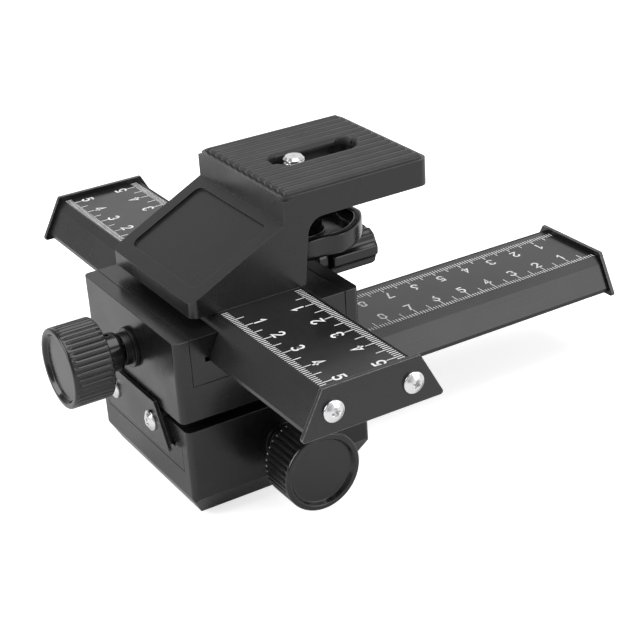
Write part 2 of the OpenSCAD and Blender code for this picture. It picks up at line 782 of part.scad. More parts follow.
module foot_pad() {
  color("#1b1b1b") difference() {
    rotate([180, 0, 0]) ribbed_sheet(foot_w, foot_len, foot_sheet_t, foot_rib_h, foot_ribs);
    translate([0, 0, -foot_w / 2]) cylinder(d = tripod_bush_d + 2 * foot_hole_margin, h = foot_w);
  }
}

module tripod_bush() {
  color("#b08d4a") difference() {
    cylinder(d = tripod_bush_d, h = tripod_bush_h);
    translate([0, 0, -overrun]) cylinder(d = tripod_bore_d, h = tripod_bush_h + 2 * overrun);
  }
}

module lower_channel_liner() { color("#2b2b2d") at_lower() channel_liner(); }
module lower_liner_screws() { color("#b9b9bc") at_lower() liner_screws(); }
module lower_outer_bush() { color("#3a3a3c") at_lower() outer_bush(); }
module lower_inner_bush() { color("#b08d4a") at_lower() inner_bush(); }

// Lower drive, clamp and lock
module lower_drive_knob() { color("#202022") at_lower() drive_knob(); }
module lower_drive_hub() { color("#141415") at_lower() drive_hub(); }
module lower_drive_shaft() { color("#a7a8ab") at_lower() drive_shaft(); }
module lower_pinion() { color("#c2a35e") at_lower() pinion(); }
module lower_grub_screw() { color("#4a4a4d") at_lower() drive_grub(); }
module lower_clamp_gib() { color("#2b2b2d") at_lower() clamp_gib(); }
module lower_lock_knob() { color("#1c1c1e") at_lower() lock_knob(); }
module lower_lock_screw() { color("#a7a8ab") at_lower() lock_screw(); }

// Lower carriage
lower_scale_start = carriage_offset + housing_w / 2 + seat_gap;
lower_scale_end = lower_rail_start + rail_len;

module lower_rail() {
  color("#29292b") at_lower() difference() {
    along_x(lower_rail_start, rail_len) rail_profile();
    scale_recess(lower_scale_start, lower_scale_end + overrun);
    rail_holes(lower_rail_start);
    up_screw_holes(carriage_offset, fixing_x, fixing_y);
  }
}

module lower_rack() { color("#8f9094") at_lower() rack(lower_rail_start); }
module lower_rack_screws() { color("#b9b9bc") at_lower() rack_screws(lower_rail_start); }
module lower_scale() { color("#333335") at_lower() scale_strip(lower_scale_start, lower_scale_end); }

module lower_near_end_plate() {
  color("#2d2d2f") at_lower() end_plate(lower_rail_start - end_plate_t);
}

module lower_far_end_plate() { color("#2d2d2f") at_lower() end_plate(lower_rail_start + rail_len); }
module lower_end_screws() { color("#d2d2d6") at_lower() end_screws(lower_rail_start); }

module carriage_housing() {
  color("#232325") difference() {
    at_upper() way_housing(carriage_h);
    at_lower() for (x = [-1, 1], y = [-1, 1])
      translate([carriage_offset + x * fixing_x, y * fixing_y, -overrun])
        cylinder(d = large_screw_d + 2 * press_gap, h = fixing_bite + overrun);
  }
}

module carriage_fixing_screws() {
  color("#4a4a4d") at_lower()
    up_screws(carriage_offset, fixing_x, fixing_y, [fixing_bite, fixing_bite]);
}

module upper_channel_liner() { color("#2b2b2d") at_upper() channel_liner(); }
module upper_liner_screws() { color("#b9b9bc") at_upper() liner_screws(); }
module upper_outer_bush() { color("#3a3a3c") at_upper() outer_bush(); }
module upper_inner_bush() { color("#b08d4a") at_upper() inner_bush(); }

// Upper drive, clamp and lock
module upper_drive_knob() { color("#202022") at_upper() drive_knob(); }
module upper_drive_hub() { color("#141415") at_upper() drive_hub(); }
module upper_drive_shaft() { color("#a7a8ab") at_upper() drive_shaft(); }
module upper_pinion() { color("#c2a35e") at_upper() pinion(); }
module upper_grub_screw() { color("#4a4a4d") at_upper() drive_grub(); }
module upper_clamp_gib() { color("#2b2b2d") at_upper() clamp_gib(); }
module upper_lock_knob() { color("#1c1c1e") at_upper() lock_knob(); }
module upper_lock_screw() { color("#a7a8ab") at_upper() lock_screw(); }

// Upper carriage
upper_scale_start = platform_w / 2 + seat_gap;
upper_scale_end = rail_len / 2;

module upper_rail() {
  color("#29292b") at_upper() difference() {
    along_x(upper_rail_start, rail_len) rail_profile();
    scale_recess(upper_scale_start, upper_scale_end + overrun);
    scale_recess(-upper_scale_end - overrun, -upper_scale_start);
    rail_holes(upper_rail_start);
    up_screw_holes(0, boss_x, boss_y);
  }
}

module upper_rack() { color("#8f9094") at_upper() rack(upper_rail_start); }
module upper_rack_screws() { color("#b9b9bc") at_upper() rack_screws(upper_rail_start); }

module upper_scales() {
  color("#333335") at_upper() {
    scale_strip(upper_scale_start, upper_scale_end);
    scale_strip(-upper_scale_end, -upper_scale_start);
  }
}

module right_end_plate() { color("#2d2d2f") at_upper() end_plate(rail_len / 2); }
module left_end_plate() { color("#2d2d2f") at_upper() end_plate(-rail_len / 2 - end_plate_t); }
module upper_end_screws() { color("#d2d2d6") at_upper() end_screws(upper_rail_start); }

// Bracket: a hollow wedge on the rail that carries the slotted platform
function slope_z(y) = bracket_lip_h + slope * (y + bracket_front);

module bracket_side() {
  arch_y = leg_back_top + arch_r;
  arch_z = platform_under - arch_r;
  polygon(concat(
    [[-bracket_front, 0], [-bracket_front, bracket_lip_h], [platform_front, slope_top],
     [platform_front, platform_top - pad_sheet_t], [arch_y, platform_top - pad_sheet_t]],
    arc_points(arch_y, arch_z, arch_r, 90, 180, 8),
    [[leg_back_foot, 0]]
  ));
}

// The room inside the bracket, under the slanted wall and the platform's plate
module bracket_room() {
  drop = bracket_wall / cos(slope_angle);
  start = -bracket_front + (bracket_floor_t - bracket_lip_h + drop) / slope;
  inner = platform_front + bracket_wall;
  low = -overrun;
  polygon([
    [start, bracket_floor_t], [inner, slope_z(inner) - drop], [inner, plate_under],
    [platform_back - bracket_wall, plate_under], [platform_back - bracket_wall, low],
    [bracket_floor_back, low], [bracket_floor_back, bracket_floor_t]
  ]);
}

module panel_recess() {
  l = (platform_front + bracket_front) / cos(slope_angle);
  h = l - panel_low - panel_high;
  w = platform_w - 2 * panel_side;
  translate([0, -bracket_front, bracket_lip_h]) rotate([slope_angle, 0, 0])
    translate([0, panel_low + h / 2, -panel_depth]) linear_extrude(panel_depth + overrun)
      round_rect(w, h, panel_r);
}

module camera_bracket() {
  plan_d = platform_front + bracket_front + 2 * platform_r;
  inner_w = platform_w - 2 * bracket_wall;
  color("#262628") at_upper() difference() {
    union() {
      difference() {
        union() {
          intersection() {
            along_x(-platform_w / 2, platform_w) bracket_side();
            linear_extrude(platform_top) union() {
              translate([0, plan_d / 2 - bracket_front]) round_rect(platform_w, plan_d, bracket_corner_r);
              translate([-platform_w / 2, 0]) square([platform_w, platform_back]);
            }
          }
          translate([0, platform_front + platform_len / 2, platform_under])
            linear_extrude(platform_t) round_rect(platform_w, platform_len, platform_r);
        }
        along_x(-inner_w / 2, inner_w) bracket_room();
      }
      for (x = [-1, 1]) translate([x * boss_x, boss_y, 0]) cylinder(d = boss_d, h = boss_h);
    }
    panel_recess();
    pad_w = platform_w - 2 * pad_margin + 2 * seat_gap;
    pad_d = platform_len - 2 * pad_margin + 2 * seat_gap;
    translate([-pad_w / 2, platform_front + pad_margin - seat_gap, platform_top - pad_sheet_t])
      cube([pad_w, pad_d, pad_sheet_t + overrun]);
    translate([0, 0, ledge_top]) linear_extrude(platform_t) slot_shape(slot_w, slot_near, slot_far);
    translate([0, 0, plate_under - overrun]) linear_extrude(ledge_t + 2 * overrun)
      slot_shape(ledge_w, slot_near + (slot_w - ledge_w) / 2, slot_far - (slot_w - ledge_w) / 2);
    for (x = [-1, 1], row = [0, 1]) translate([x * boss_x, (2 * row - 1) * boss_y, -overrun])
      cylinder(d = large_screw_d + 2 * press_gap, h = overrun + bracket_bites[row]);
  }
}

module bracket_screws() {
  color("#4a4a4d") at_upper() up_screws(0, boss_x, boss_y, bracket_bites);
}

module platform_pad() {
  pad_w = platform_w - 2 * pad_margin;
  pad_d = platform_len - 2 * pad_margin;
  color("#1d1d1e") at_upper() difference() {
    translate([0, platform_front + platform_len / 2, platform_top - pad_sheet_t])
      ribbed_sheet(pad_w, pad_d, pad_sheet_t, pad_rib_h, pad_ribs);
    translate([0, 0, platform_under]) linear_extrude(2 * platform_t)
      slot_shape(slot_w, slot_near, slot_far);
  }
}

// Camera screw
module slot_slider() {
  w = slot_w - 2 * slider_gap;
  color("#3a3a3c") at_upper() difference() {
    translate([0, 0, ledge_top]) linear_extrude(slider_t)
      slot_shape(w, screw_y - slider_len / 2, screw_y + slider_len / 2);
    translate([0, screw_y, ledge_top - overrun])
      cylinder(d = camera_shank_d + 2 * shaft_gap, h = slider_t + 2 * overrun);
  }
}

module retaining_ring() {
  color("#55565a") at_upper() translate([0, screw_y, slider_top]) difference() {
    cylinder(d = ring_d, h = ring_t);
    translate([0, 0, -overrun]) cylinder(d = camera_shank_d + 2 * shaft_gap, h = ring_t + 2 * overrun);
  }
}

module camera_screw() {
  r = camera_screw_d / 2;
  shank_r = camera_shank_d / 2;
  tip_z = platform_top + camera_screw_tip;
  color("#c9cacd") at_upper() translate([0, screw_y, 0]) rotate_extrude() polygon([
    [0, camera_seat_z], [shank_r, camera_seat_z], [shank_r, thread_foot], [r, thread_foot],
    [r, tip_z - tip_chamfer], [r - tip_chamfer, tip_z], [0, tip_z]
  ]);
}

module camera_screw_knob() {
  r = camera_knob_d / 2;
  hub_r = camera_hub_d / 2;
  top = camera_knob_z + camera_knob_h;
  foot = camera_knob_z;
  c = camera_knob_round;
  color("#1f1f21") at_upper() translate([0, screw_y, 0]) difference() {
    rotate_extrude() polygon(concat(
      [[0, foot]],
      arc_points(r - c, foot + c, c, -90, 0, 5),
      [[r, top], [r - camera_rim, top], [r - camera_rim - camera_dish_slope, top - camera_dish],
       [hub_r, top - camera_dish], [hub_r, camera_hub_top], [0, camera_hub_top]]
    ));
    for (i = [0:camera_lobes - 1]) rotate([0, 0, camera_lobe_turn + 360 * i / camera_lobes])
      translate([r - camera_lobe_depth + camera_lobe_r, 0, foot - overrun])
        cylinder(r = camera_lobe_r, h = camera_knob_h + 2 * overrun);
    translate([0, 0, camera_seat_z]) cylinder(d = camera_shank_d + 2 * press_gap, h = platform_top);
  }
}

base_housing();
foot_pad();
tripod_bush();
lower_channel_liner();
lower_liner_screws();
lower_outer_bush();
lower_inner_bush();
lower_drive_knob();
lower_drive_hub();
lower_drive_shaft();
lower_pinion();
lower_grub_screw();
lower_clamp_gib();
lower_lock_knob();
lower_lock_screw();
lower_rail();
lower_rack();
lower_rack_screws();
lower_scale();
lower_near_end_plate();
lower_far_end_plate();
lower_end_screws();
carriage_housing();
carriage_fixing_screws();
upper_channel_liner();
upper_liner_screws();
upper_outer_bush();
upper_inner_bush();
upper_drive_knob();
upper_drive_hub();
upper_drive_shaft();
upper_pinion();
upper_grub_screw();
upper_clamp_gib();
upper_lock_knob();
upper_lock_screw();
upper_rail();
upper_rack();
upper_rack_screws();
upper_scales();
right_end_plate();
left_end_plate();
upper_end_screws();
camera_bracket();
bracket_screws();
platform_pad();
slot_slider();
retaining_ring();
camera_screw();
camera_screw_knob();
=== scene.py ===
# %% [markdown]
# # A four-way focusing rail in a white studio
#
# The object is a positioning stage for close-up photography. Two dovetail rails cross each other, a fluted
# knob drives each of them through a rack, a small lobed knob locks each one, and a slotted platform with a
# ribbed pad holds the camera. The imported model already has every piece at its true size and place, so this
# lesson only gives the pieces their finish: small rounds on the edges, threads, flutes, ribs, the printed
# rulers, and a material for each surface. We start by loading that model as a fixed frame.

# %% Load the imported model
import json
import math

import bmesh
import bpy
import numpy as np
from mathutils import Matrix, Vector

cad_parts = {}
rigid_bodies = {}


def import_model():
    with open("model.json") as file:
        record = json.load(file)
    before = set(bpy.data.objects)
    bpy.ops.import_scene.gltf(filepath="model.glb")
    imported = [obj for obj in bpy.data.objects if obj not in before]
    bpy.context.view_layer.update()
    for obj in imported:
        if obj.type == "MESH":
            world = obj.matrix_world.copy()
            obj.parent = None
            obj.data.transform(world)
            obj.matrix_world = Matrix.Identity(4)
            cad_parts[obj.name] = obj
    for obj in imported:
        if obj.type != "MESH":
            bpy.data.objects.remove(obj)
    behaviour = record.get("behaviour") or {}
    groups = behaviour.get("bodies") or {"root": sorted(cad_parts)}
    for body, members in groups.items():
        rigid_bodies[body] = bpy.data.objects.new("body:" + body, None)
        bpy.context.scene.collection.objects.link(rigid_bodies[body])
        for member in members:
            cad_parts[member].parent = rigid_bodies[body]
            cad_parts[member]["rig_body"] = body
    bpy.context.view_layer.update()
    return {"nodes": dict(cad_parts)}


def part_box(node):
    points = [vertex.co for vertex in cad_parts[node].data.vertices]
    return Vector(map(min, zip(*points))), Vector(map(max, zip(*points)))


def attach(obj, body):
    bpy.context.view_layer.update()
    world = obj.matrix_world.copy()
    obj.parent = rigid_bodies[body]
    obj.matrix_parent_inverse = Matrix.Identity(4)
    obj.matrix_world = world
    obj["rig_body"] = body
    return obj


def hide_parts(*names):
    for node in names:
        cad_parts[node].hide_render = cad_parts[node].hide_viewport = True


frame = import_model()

MM = 0.001

# %% [markdown]
# ## The photographer's camera
#
# The rulers on the rails are true centimetre scales, so they tell where the camera stood: half a metre
# from the tripod thread, looking down at 26 degrees, and tipped by almost four degrees. A camera can be
# aimed with a Track To constraint, but a constraint can't hold that small tilt. We build the three axes of
# the camera instead and put them into its matrix.

# %% Camera axes from the three angles
VIEW_PLACE = np.array([377.21, -185.82, 247.18]) * MM
VIEW_AZIMUTH = math.radians(60.0045)
VIEW_ELEVATION = math.radians(26.2093)
VIEW_ROLL = math.radians(-3.7792)
VIEW_LENS_MM = 89.47
VIEW_START = 10 * MM


def camera_axes(azimuth, elevation, roll):
    """Right, up and backward directions: a level camera is turned by azimuth about +Z, dipped by elevation
    below the horizon, and rolled about its own line of sight."""
    forward = np.array([
        -math.sin(azimuth) * math.cos(elevation),
        math.cos(azimuth) * math.cos(elevation),
        -math.sin(elevation),
    ])
    level = np.array([math.cos(azimuth), math.sin(azimuth), 0.0])
    upright = np.cross(level, forward)
    right = math.cos(roll) * level + math.sin(roll) * upright
    return right, np.cross(right, forward), -forward


camera_data = bpy.data.cameras.new("photographers_camera")
camera_data.lens = VIEW_LENS_MM
camera_data.clip_start = VIEW_START
camera = bpy.data.objects.new("photographers_camera", camera_data)
bpy.context.scene.collection.objects.link(camera)
bpy.context.scene.camera = camera
placement = np.eye(4)
placement[:3, :3] = np.column_stack(camera_axes(VIEW_AZIMUTH, VIEW_ELEVATION, VIEW_ROLL))
placement[:3, 3] = VIEW_PLACE
camera.matrix_world = Matrix(placement.tolist())
print("camera", round(float(np.linalg.norm(VIEW_PLACE)), 3), "m from the tripod thread")

# %% [markdown]
# ## Small tools for surfaces
#
# Most of the new pieces are turned or extruded forms, so each is a grid of points: one index runs along a
# profile, the other round an axis or along a path. Whole grids are worked out as arrays, and one function
# turns them into a mesh, gives it its material and tells the frame which body carries it.

# %% Grids and meshes
WELD_REACH = 0.0005 * MM


def centre(node):
    """The middle of a node's box."""
    low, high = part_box(node)
    return (np.array(low) + np.array(high)) / 2


def extent(node):
    """The size of a node's box."""
    low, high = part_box(node)
    return np.array(high) - np.array(low)


def grid_quads(rows, columns, closed=True):
    """Quads between neighbours of a grid whose points are numbered row by row. When the grid is closed, the
    last column is joined to the first."""
    row = np.arange(rows - 1)[:, None] * columns
    left = np.arange(columns if closed else columns - 1)[None, :]
    right = (left + 1) % columns
    corners = [row + left, row + right, row + columns + right, row + columns + left]
    return np.stack(corners, -1).reshape(-1, 4)


def shaded(name, mesh, material, sharp):
    """An object of the mesh in one material, smooth except at edges sharper than an angle in degrees."""
    mesh.shade_smooth()
    mesh.set_sharp_from_angle(angle=math.radians(sharp))
    mesh.materials.append(material)
    piece = bpy.data.objects.new(name, mesh)
    bpy.context.scene.collection.objects.link(piece)
    return piece


def add_piece(name, points, faces, material, body, replaces, sharp):
    """Makes a mesh object of the points and faces, welds its poles and seams, shades it smooth below the
    sharp angle, and lets it ride on a body."""
    mesh = bpy.data.meshes.new(name)
    mesh.from_pydata(np.asarray(points, float).reshape(-1, 3).tolist(), [], np.asarray(faces).tolist())
    work = bmesh.new()
    work.from_mesh(mesh)
    bmesh.ops.remove_doubles(work, verts=work.verts, dist=WELD_REACH)
    bmesh.ops.dissolve_degenerate(work, edges=work.edges, dist=WELD_REACH)
    work.to_mesh(mesh)
    work.free()
    piece = shaded(name, mesh, material, sharp)
    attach(piece, body)
    if replaces:
        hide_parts(*replaces)
    print(f"{name}: {len(mesh.vertices)} points, {len(mesh.polygons)} faces on {body}")
    return piece


# %% [markdown]
# A turned form starts from a profile. Corners of real turned and moulded pieces are never dead sharp, so the
# profile goes through its corners in short curves. Each curve is a parabola between two points on the
# sides, which needs no trigonometry and looks like a fillet at this size.

# %% Rounded profiles and turned forms
def rounded_line(corners, rounds, steps):
    """A line through the corners. Corner c with round r is replaced by the curve (1-s)^2 A + 2s(1-s) c +
    s^2 B, where A and B lie on its two sides, r away from it."""
    corners = np.asarray(corners, float)
    line = [corners[:1]]
    s = np.linspace(0, 1, steps + 1)[:, None]
    for before, corner, after, size in zip(corners[:-2], corners[1:-1], corners[2:], rounds):
        start = corner + (before - corner) / np.linalg.norm(before - corner) * size
        end = corner + (after - corner) / np.linalg.norm(after - corner) * size
        curve = (1 - s) ** 2 * start + 2 * s * (1 - s) * corner + s ** 2 * end
        line.append(curve if size else corner[None])
    line.append(corners[-1:])
    return np.concatenate(line)


def stretched(profile, step):
    """The profile with extra points on its long stretches, none of them longer than step."""
    pieces = [
        np.linspace(a, b, max(1, math.ceil(np.linalg.norm(b - a) / step)), endpoint=False)
        for a, b in zip(profile[:-1], profile[1:])
    ]
    return np.concatenate(pieces + [profile[-1:]])


def turned(profile, turns, radius=None):
    """Points (r cos t, r sin t, h) for each profile point (r, h) and each of the angles t, as a grid. The
    profile climbs on its outside. radius(r, h, t) can shape the outline."""
    r, h = profile[:, :1], profile[:, 1:]
    t = np.linspace(0, 2 * np.pi, turns, endpoint=False)[None, :]
    rr = radius(r, h, t) if radius else r + 0 * t
    return np.stack([rr * np.cos(t), rr * np.sin(t), h + 0 * t], -1), grid_quads(len(profile), turns)


def stand(points, origin, axis):
    """Turns a form made about +Z so that its axis points along axis, and moves its foot to origin."""
    w = np.asarray(axis, float) / np.linalg.norm(axis)
    u = np.cross([0.0, 0.0, 1.0], w) if abs(w[2]) < 0.9 else np.array([1.0, 0.0, 0.0])
    v = np.cross(w, u)
    return np.asarray(origin) + points[..., :1] * u + points[..., 1:2] * v + points[..., 2:] * w


def laid_through(points, node, length, outward):
    """A form of some length about +Z, laid along outward with its middle in the middle of a node's box."""
    axis = np.asarray(outward, float)
    return stand(points, centre(node) - axis * length / 2, axis)


# %% [markdown]
# The housings, the bracket and the rails have bores and pockets in many places, and a grid would lose them.
# They are copied from the model instead. Its mesh is loose triangles, so the copy is welded first, flat
# neighbours become one face, and a Bevel modifier puts a small round on every edge. That thin
# bright line along an edge is what makes painted metal look real.

# %% Copies with rounded edges
COPY_WELD_REACH = 0.002 * MM
FLAT_ANGLE = math.radians(0.6)
ROUND_SEGMENTS = 3


def rounded_copy(node, material, slot, width, angle=28):
    """A copy of a node's mesh with welded points, joined flat faces and bevelled edges, standing for it."""
    mesh = frame["nodes"][node].data.copy()
    mesh.materials.clear()
    work = bmesh.new()
    work.from_mesh(mesh)
    bmesh.ops.remove_doubles(work, verts=work.verts, dist=COPY_WELD_REACH)
    bmesh.ops.dissolve_limit(work, angle_limit=FLAT_ANGLE, verts=work.verts, edges=work.edges)
    work.to_mesh(mesh)
    work.free()
    piece = shaded(node + "_finished", mesh, material, angle)
    bevel = piece.modifiers.new("edge round", "BEVEL")
    bevel.width = width
    bevel.segments = ROUND_SEGMENTS
    bevel.limit_method = "ANGLE"
    bevel.angle_limit = math.radians(angle)
    bevel.miter_outer = "MITER_ARC"
    bevel.use_clamp_overlap = True
    weighted = piece.modifiers.new("even shading", "WEIGHTED_NORMAL")
    weighted.keep_sharp = True
    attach(piece, frame["nodes"][node]["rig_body"])
    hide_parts(node)
    print(f"{piece.name}: {len(mesh.polygons)} faces before its {width / MM:.2f} mm round")
    return piece


# %% [markdown]
# ## Materials
#
# Nearly everything here is black, and black surfaces are told apart by how they reflect. Each material
# therefore gets its own roughness, its own grain in the bump, and a little variation over the surface. The
# patterns read Object coordinates, which are metres in the model's frame, so a scale of 1000 makes a
# feature of about a millimetre. A pattern takes many nodes, so a few helpers make and link them.

# %% Node helpers
def feed(owner, socket, value):
    """Links another node's output to a socket, or writes a constant there. A colour gets an alpha of 1."""
    if isinstance(value, bpy.types.NodeSocket):
        owner.node_tree.links.new(value, socket)
    elif socket.type == "RGBA":
        socket.default_value = (*value, 1.0)
    else:
        socket.default_value = value


def add_node(owner, kind, inputs, **settings):
    """A new node of a material or a world. Its settings come first, because they can change its inputs, and
    then each input gets its value or its link."""
    node = owner.node_tree.nodes.new("ShaderNode" + kind)
    for name, value in settings.items():
        setattr(node, name, value)
    for key, value in inputs.items():
        feed(owner, node.inputs[key], value)
    return node


def start_material(name, colour, roughness, metallic=0.0):
    """A Principled material with its constants set, and the Object coordinates ready for patterns."""
    material = bpy.data.materials.new(name)
    material.use_nodes = True
    shader = material.node_tree.nodes["Principled BSDF"]
    shader.inputs["Base Color"].default_value = (*colour, 1.0)
    shader.inputs["Roughness"].default_value = roughness
    shader.inputs["Metallic"].default_value = metallic
    print(f"material {name}: colour {colour}, roughness {roughness}")
    return material, shader, add_node(material, "TexCoord", {}).outputs["Object"]


def noise_of(material, place, scale, detail, stretch=None):
    """The value of a noise pattern. stretch squeezes or lengthens it along X, Y and Z."""
    if stretch is not None:
        place = add_node(material, "Mapping", {"Vector": place, "Scale": stretch}).outputs["Vector"]
    noise = add_node(material, "TexNoise", {"Vector": place, "Scale": scale, "Detail": detail})
    return noise.outputs["Fac"]


def ranged(owner, value, low, high, from_low=0.3, from_high=0.7, curve="LINEAR"):
    """The value mapped from one range to another. A noise hardly leaves the range from 0.3 to 0.7."""
    ends = {"Value": value, "From Min": from_low, "From Max": from_high, "To Min": low, "To Max": high}
    return add_node(owner, "MapRange", ends, interpolation_type=curve).outputs["Result"]


def calculated(owner, operation, *values):
    """The result of a sum, product or comparison of the values."""
    return add_node(owner, "Math", dict(enumerate(values)), operation=operation).outputs[0]


def mixed_colour(material, factor, first, second):
    """A colour between first and second, as the factor goes from 0 to 1."""
    inputs = {"Factor": factor, "A": first, "B": second}
    return add_node(material, "Mix", inputs, data_type="RGBA").outputs["Result"]


def vary(material, shader, name, value):
    """Lets a pattern drive one input of the shader."""
    feed(material, shader.inputs[name], value)


def add_bump(material, shader, height, strength, distance):
    """Bends the surface's normal by a height pattern. distance is the height of its hills in metres."""
    bump = add_node(material, "Bump", {"Height": height, "Strength": strength, "Distance": distance})
    vary(material, shader, "Normal", bump.outputs["Normal"])


# %% [markdown]
# The cast housings wear a satin black enamel. It has a faint orange-peel surface, its gloss drifts a little
# from place to place, and a few specks of dust lie on it, as they do on any black product in a studio. Paint
# draws away from an edge while it dries and wears off there first, so a paler tone shows along the edges.
# On the end plates that edge tone is far paler: a painted highlight along their edges.
# The Bevel node finds the edges: it is a look into the mesh, and costs no geometry.

# %% Enamel on the castings
CLOUD_SCALE = 60.0
PEEL_SCALE = 1500.0
PEEL_HEIGHT = 0.01 * MM
DUST_SCALE = 330.0
DUST_TONE = (0.16, 0.16, 0.16)
SPECK_REACH = 0.055
# The edge mask: on the castings it gives worn paint, on the end plates a painted highlight along the edges.
EDGE_PATCH_SCALE = 500.0
EDGE_MASK_RADIUS = 0.35 * MM
EDGE_MASK_SAMPLES = 4
FULL_EDGE_LEAN = 0.9


def dust_of(material, place, share):
    """Tiny specks: 1 within a small distance of some random points of a Voronoi pattern, else 0."""
    cells = add_node(material, "TexVoronoi", {"Vector": place, "Scale": DUST_SCALE})
    parts = add_node(material, "SeparateColor", {"Color": cells.outputs["Color"]})
    near = calculated(material, "LESS_THAN", cells.outputs["Distance"], SPECK_REACH)
    chosen = calculated(material, "LESS_THAN", parts.outputs["Red"], share)
    return calculated(material, "MULTIPLY", near, chosen)


def worn_and_highlit_edges(material, place, paint, wear_and_highlight_tone):
    """Thinner paint on edges, and on the end plates a painted highlight along them. The Bevel node gives the
    normal that a rounded edge would have; where it leans away from the true normal, by a dot product below
    one, a noise lets the pale edge tone through."""
    bevel = add_node(material, "Bevel", {"Radius": EDGE_MASK_RADIUS}, samples=EDGE_MASK_SAMPLES)
    surface = add_node(material, "NewGeometry", {})
    normals = {0: bevel.outputs["Normal"], 1: surface.outputs["True Normal"]}
    lean = add_node(material, "VectorMath", normals, operation="DOT_PRODUCT").outputs["Value"]
    edge = ranged(material, lean, 1.0, 0.0, FULL_EDGE_LEAN, 1.0)
    patches = ranged(material, noise_of(material, place, EDGE_PATCH_SCALE, 4.0), 0.25, 1.0)
    # The pale edge tone is worn paint on the castings and a painted highlight on the end plates.
    return mixed_colour(material, calculated(material, "MULTIPLY", edge, patches), paint, wear_and_highlight_tone)


def enamel(name, colour, roughness, wear_and_highlight_tone, grain=0.35, dust_share=0.12):
    """Black paint: clouded roughness, an orange-peel bump, sparse dust, and a paler grey on its edges: worn
    paint, and on the end plates a painted highlight.
    """
    material, shader, place = start_material(name, colour, roughness)
    clouds = noise_of(material, place, CLOUD_SCALE, 2.0)
    vary(material, shader, "Roughness", ranged(material, clouds, roughness - 0.05, roughness + 0.06))
    dusty = mixed_colour(material, dust_of(material, place, dust_share), colour, DUST_TONE)
    vary(material, shader, "Base Color", worn_and_highlit_edges(material, place, dusty, (wear_and_highlight_tone, wear_and_highlight_tone, wear_and_highlight_tone)))
    add_bump(material, shader, noise_of(material, place, PEEL_SCALE, 2.0), grain, PEEL_HEIGHT)
    return material


casting_enamel = enamel("casting_enamel", (0.006, 0.006, 0.0065), 0.25, 0.05)
bracket_enamel = enamel("bracket_enamel", (0.009, 0.009, 0.0095), 0.28, 0.05)
# On the end plates the edge tone of 0.3 is a painted highlight along the plates' edges; on the castings 0.05
# is worn paint.
plate_enamel = enamel("plate_enamel", (0.012, 0.012, 0.0125), 0.27, 0.3, grain=0.2, dust_share=0.08)

# %% [markdown]
# The rails are extruded aluminium, anodised black. The die leaves very fine lines along the extrusion, so
# the noise is squeezed across the rail and stretched along it. The two rails run in different
# directions, and each gets its own version.

# %% Anodised rails and liners
RAIL_AXES = {"upper": "x", "lower": "y"}
DIE_SCALE_ALONG = 14.0
DIE_SCALE_ACROSS = 2400.0
DIE_LINE_HEIGHT = 0.006 * MM
PATCH_SCALE = 45.0


def anodised(name, colour, roughness, along):
    """Anodised extrusion: roughness and bump follow lines along one direction."""
    material, shader, place = start_material(name, colour, roughness)
    stretch = tuple(DIE_SCALE_ALONG if axis == along else DIE_SCALE_ACROSS for axis in "xyz")
    lines = noise_of(material, place, 1.0, 4.0, stretch)
    patches = noise_of(material, place, PATCH_SCALE, 2.0)
    both = calculated(material, "MULTIPLY_ADD", lines, 0.5, patches)
    spread = ranged(material, both, roughness - 0.06, roughness + 0.07, 0.5, 1.0)
    vary(material, shader, "Roughness", spread)
    add_bump(material, shader, lines, 0.2, DIE_LINE_HEIGHT)
    return material


rail_black = {
    way: anodised(way + "_rail_black", (0.011, 0.011, 0.0115), 0.27, axis)
    for way, axis in RAIL_AXES.items()
}
liner_black = {
    way: anodised(way + "_liner_black", (0.008, 0.008, 0.0085), 0.26, axis)
    for way, axis in RAIL_AXES.items()
}

# %% [markdown]
# The scale strips are silk-screened: a very dark grey ground with slightly rough white ink. The knobs are
# moulded, with a smoother skin than the rubber pads. Rubber has only a weak mirror reflection, and a coarse
# grain.

# %% Strips, knobs and rubber
GLOSS_SCALE = 90.0
TONE_SCALE = 400.0
TONE_SHARES = (0.85, 1.15)


def grained(name, colour, roughness, scale, strength, height, spread=0.05):
    """A moulded or printed surface: an even colour, a fine grain and a little spread in roughness."""
    material, shader, place = start_material(name, colour, roughness)
    clouds = noise_of(material, place, GLOSS_SCALE, 3.0)
    vary(material, shader, "Roughness", ranged(material, clouds, roughness - spread, roughness + spread))
    tone = ranged(material, noise_of(material, place, TONE_SCALE, 4.0), 0.0, 1.0)
    darker, lighter = (tuple(share * c for c in colour) for share in TONE_SHARES)
    vary(material, shader, "Base Color", mixed_colour(material, tone, darker, lighter))
    add_bump(material, shader, noise_of(material, place, scale, 3.0), strength, height)
    return material


strip_grey = grained("strip_grey", (0.011, 0.011, 0.0115), 0.22, 3000.0, 0.12, 0.004 * MM)
ink_white = grained("ink_white", (0.8, 0.8, 0.8), 0.55, 5000.0, 0.2, 0.005 * MM)
knob_black = grained("knob_black", (0.007, 0.007, 0.0075), 0.19, 1800.0, 0.15, 0.005 * MM)
lock_black = grained("lock_black", (0.007, 0.007, 0.0075), 0.2, 1500.0, 0.2, 0.006 * MM)
pad_rubber = grained("pad_rubber", (0.017, 0.017, 0.018), 0.42, 1600.0, 0.4, 0.015 * MM)
foot_rubber = grained("foot_rubber", (0.016, 0.016, 0.016), 0.65, 1400.0, 0.5, 0.02 * MM)
hub_black = grained("hub_black", (0.006, 0.006, 0.007), 0.16, 900.0, 0.1, 0.004 * MM, 0.03)
for rubber, mirror_level in ((pad_rubber, 0.45), (foot_rubber, 0.3)):
    rubber.node_tree.nodes["Principled BSDF"].inputs["Specular IOR Level"].default_value = mirror_level

# %% [markdown]
# The bright pieces are real metals: nickel-plated screw heads, zinc-plated hidden screws, ground steel
# shafts and machined brass. A metal takes its colour from the reflection, so the base colour is its
# reflectance.

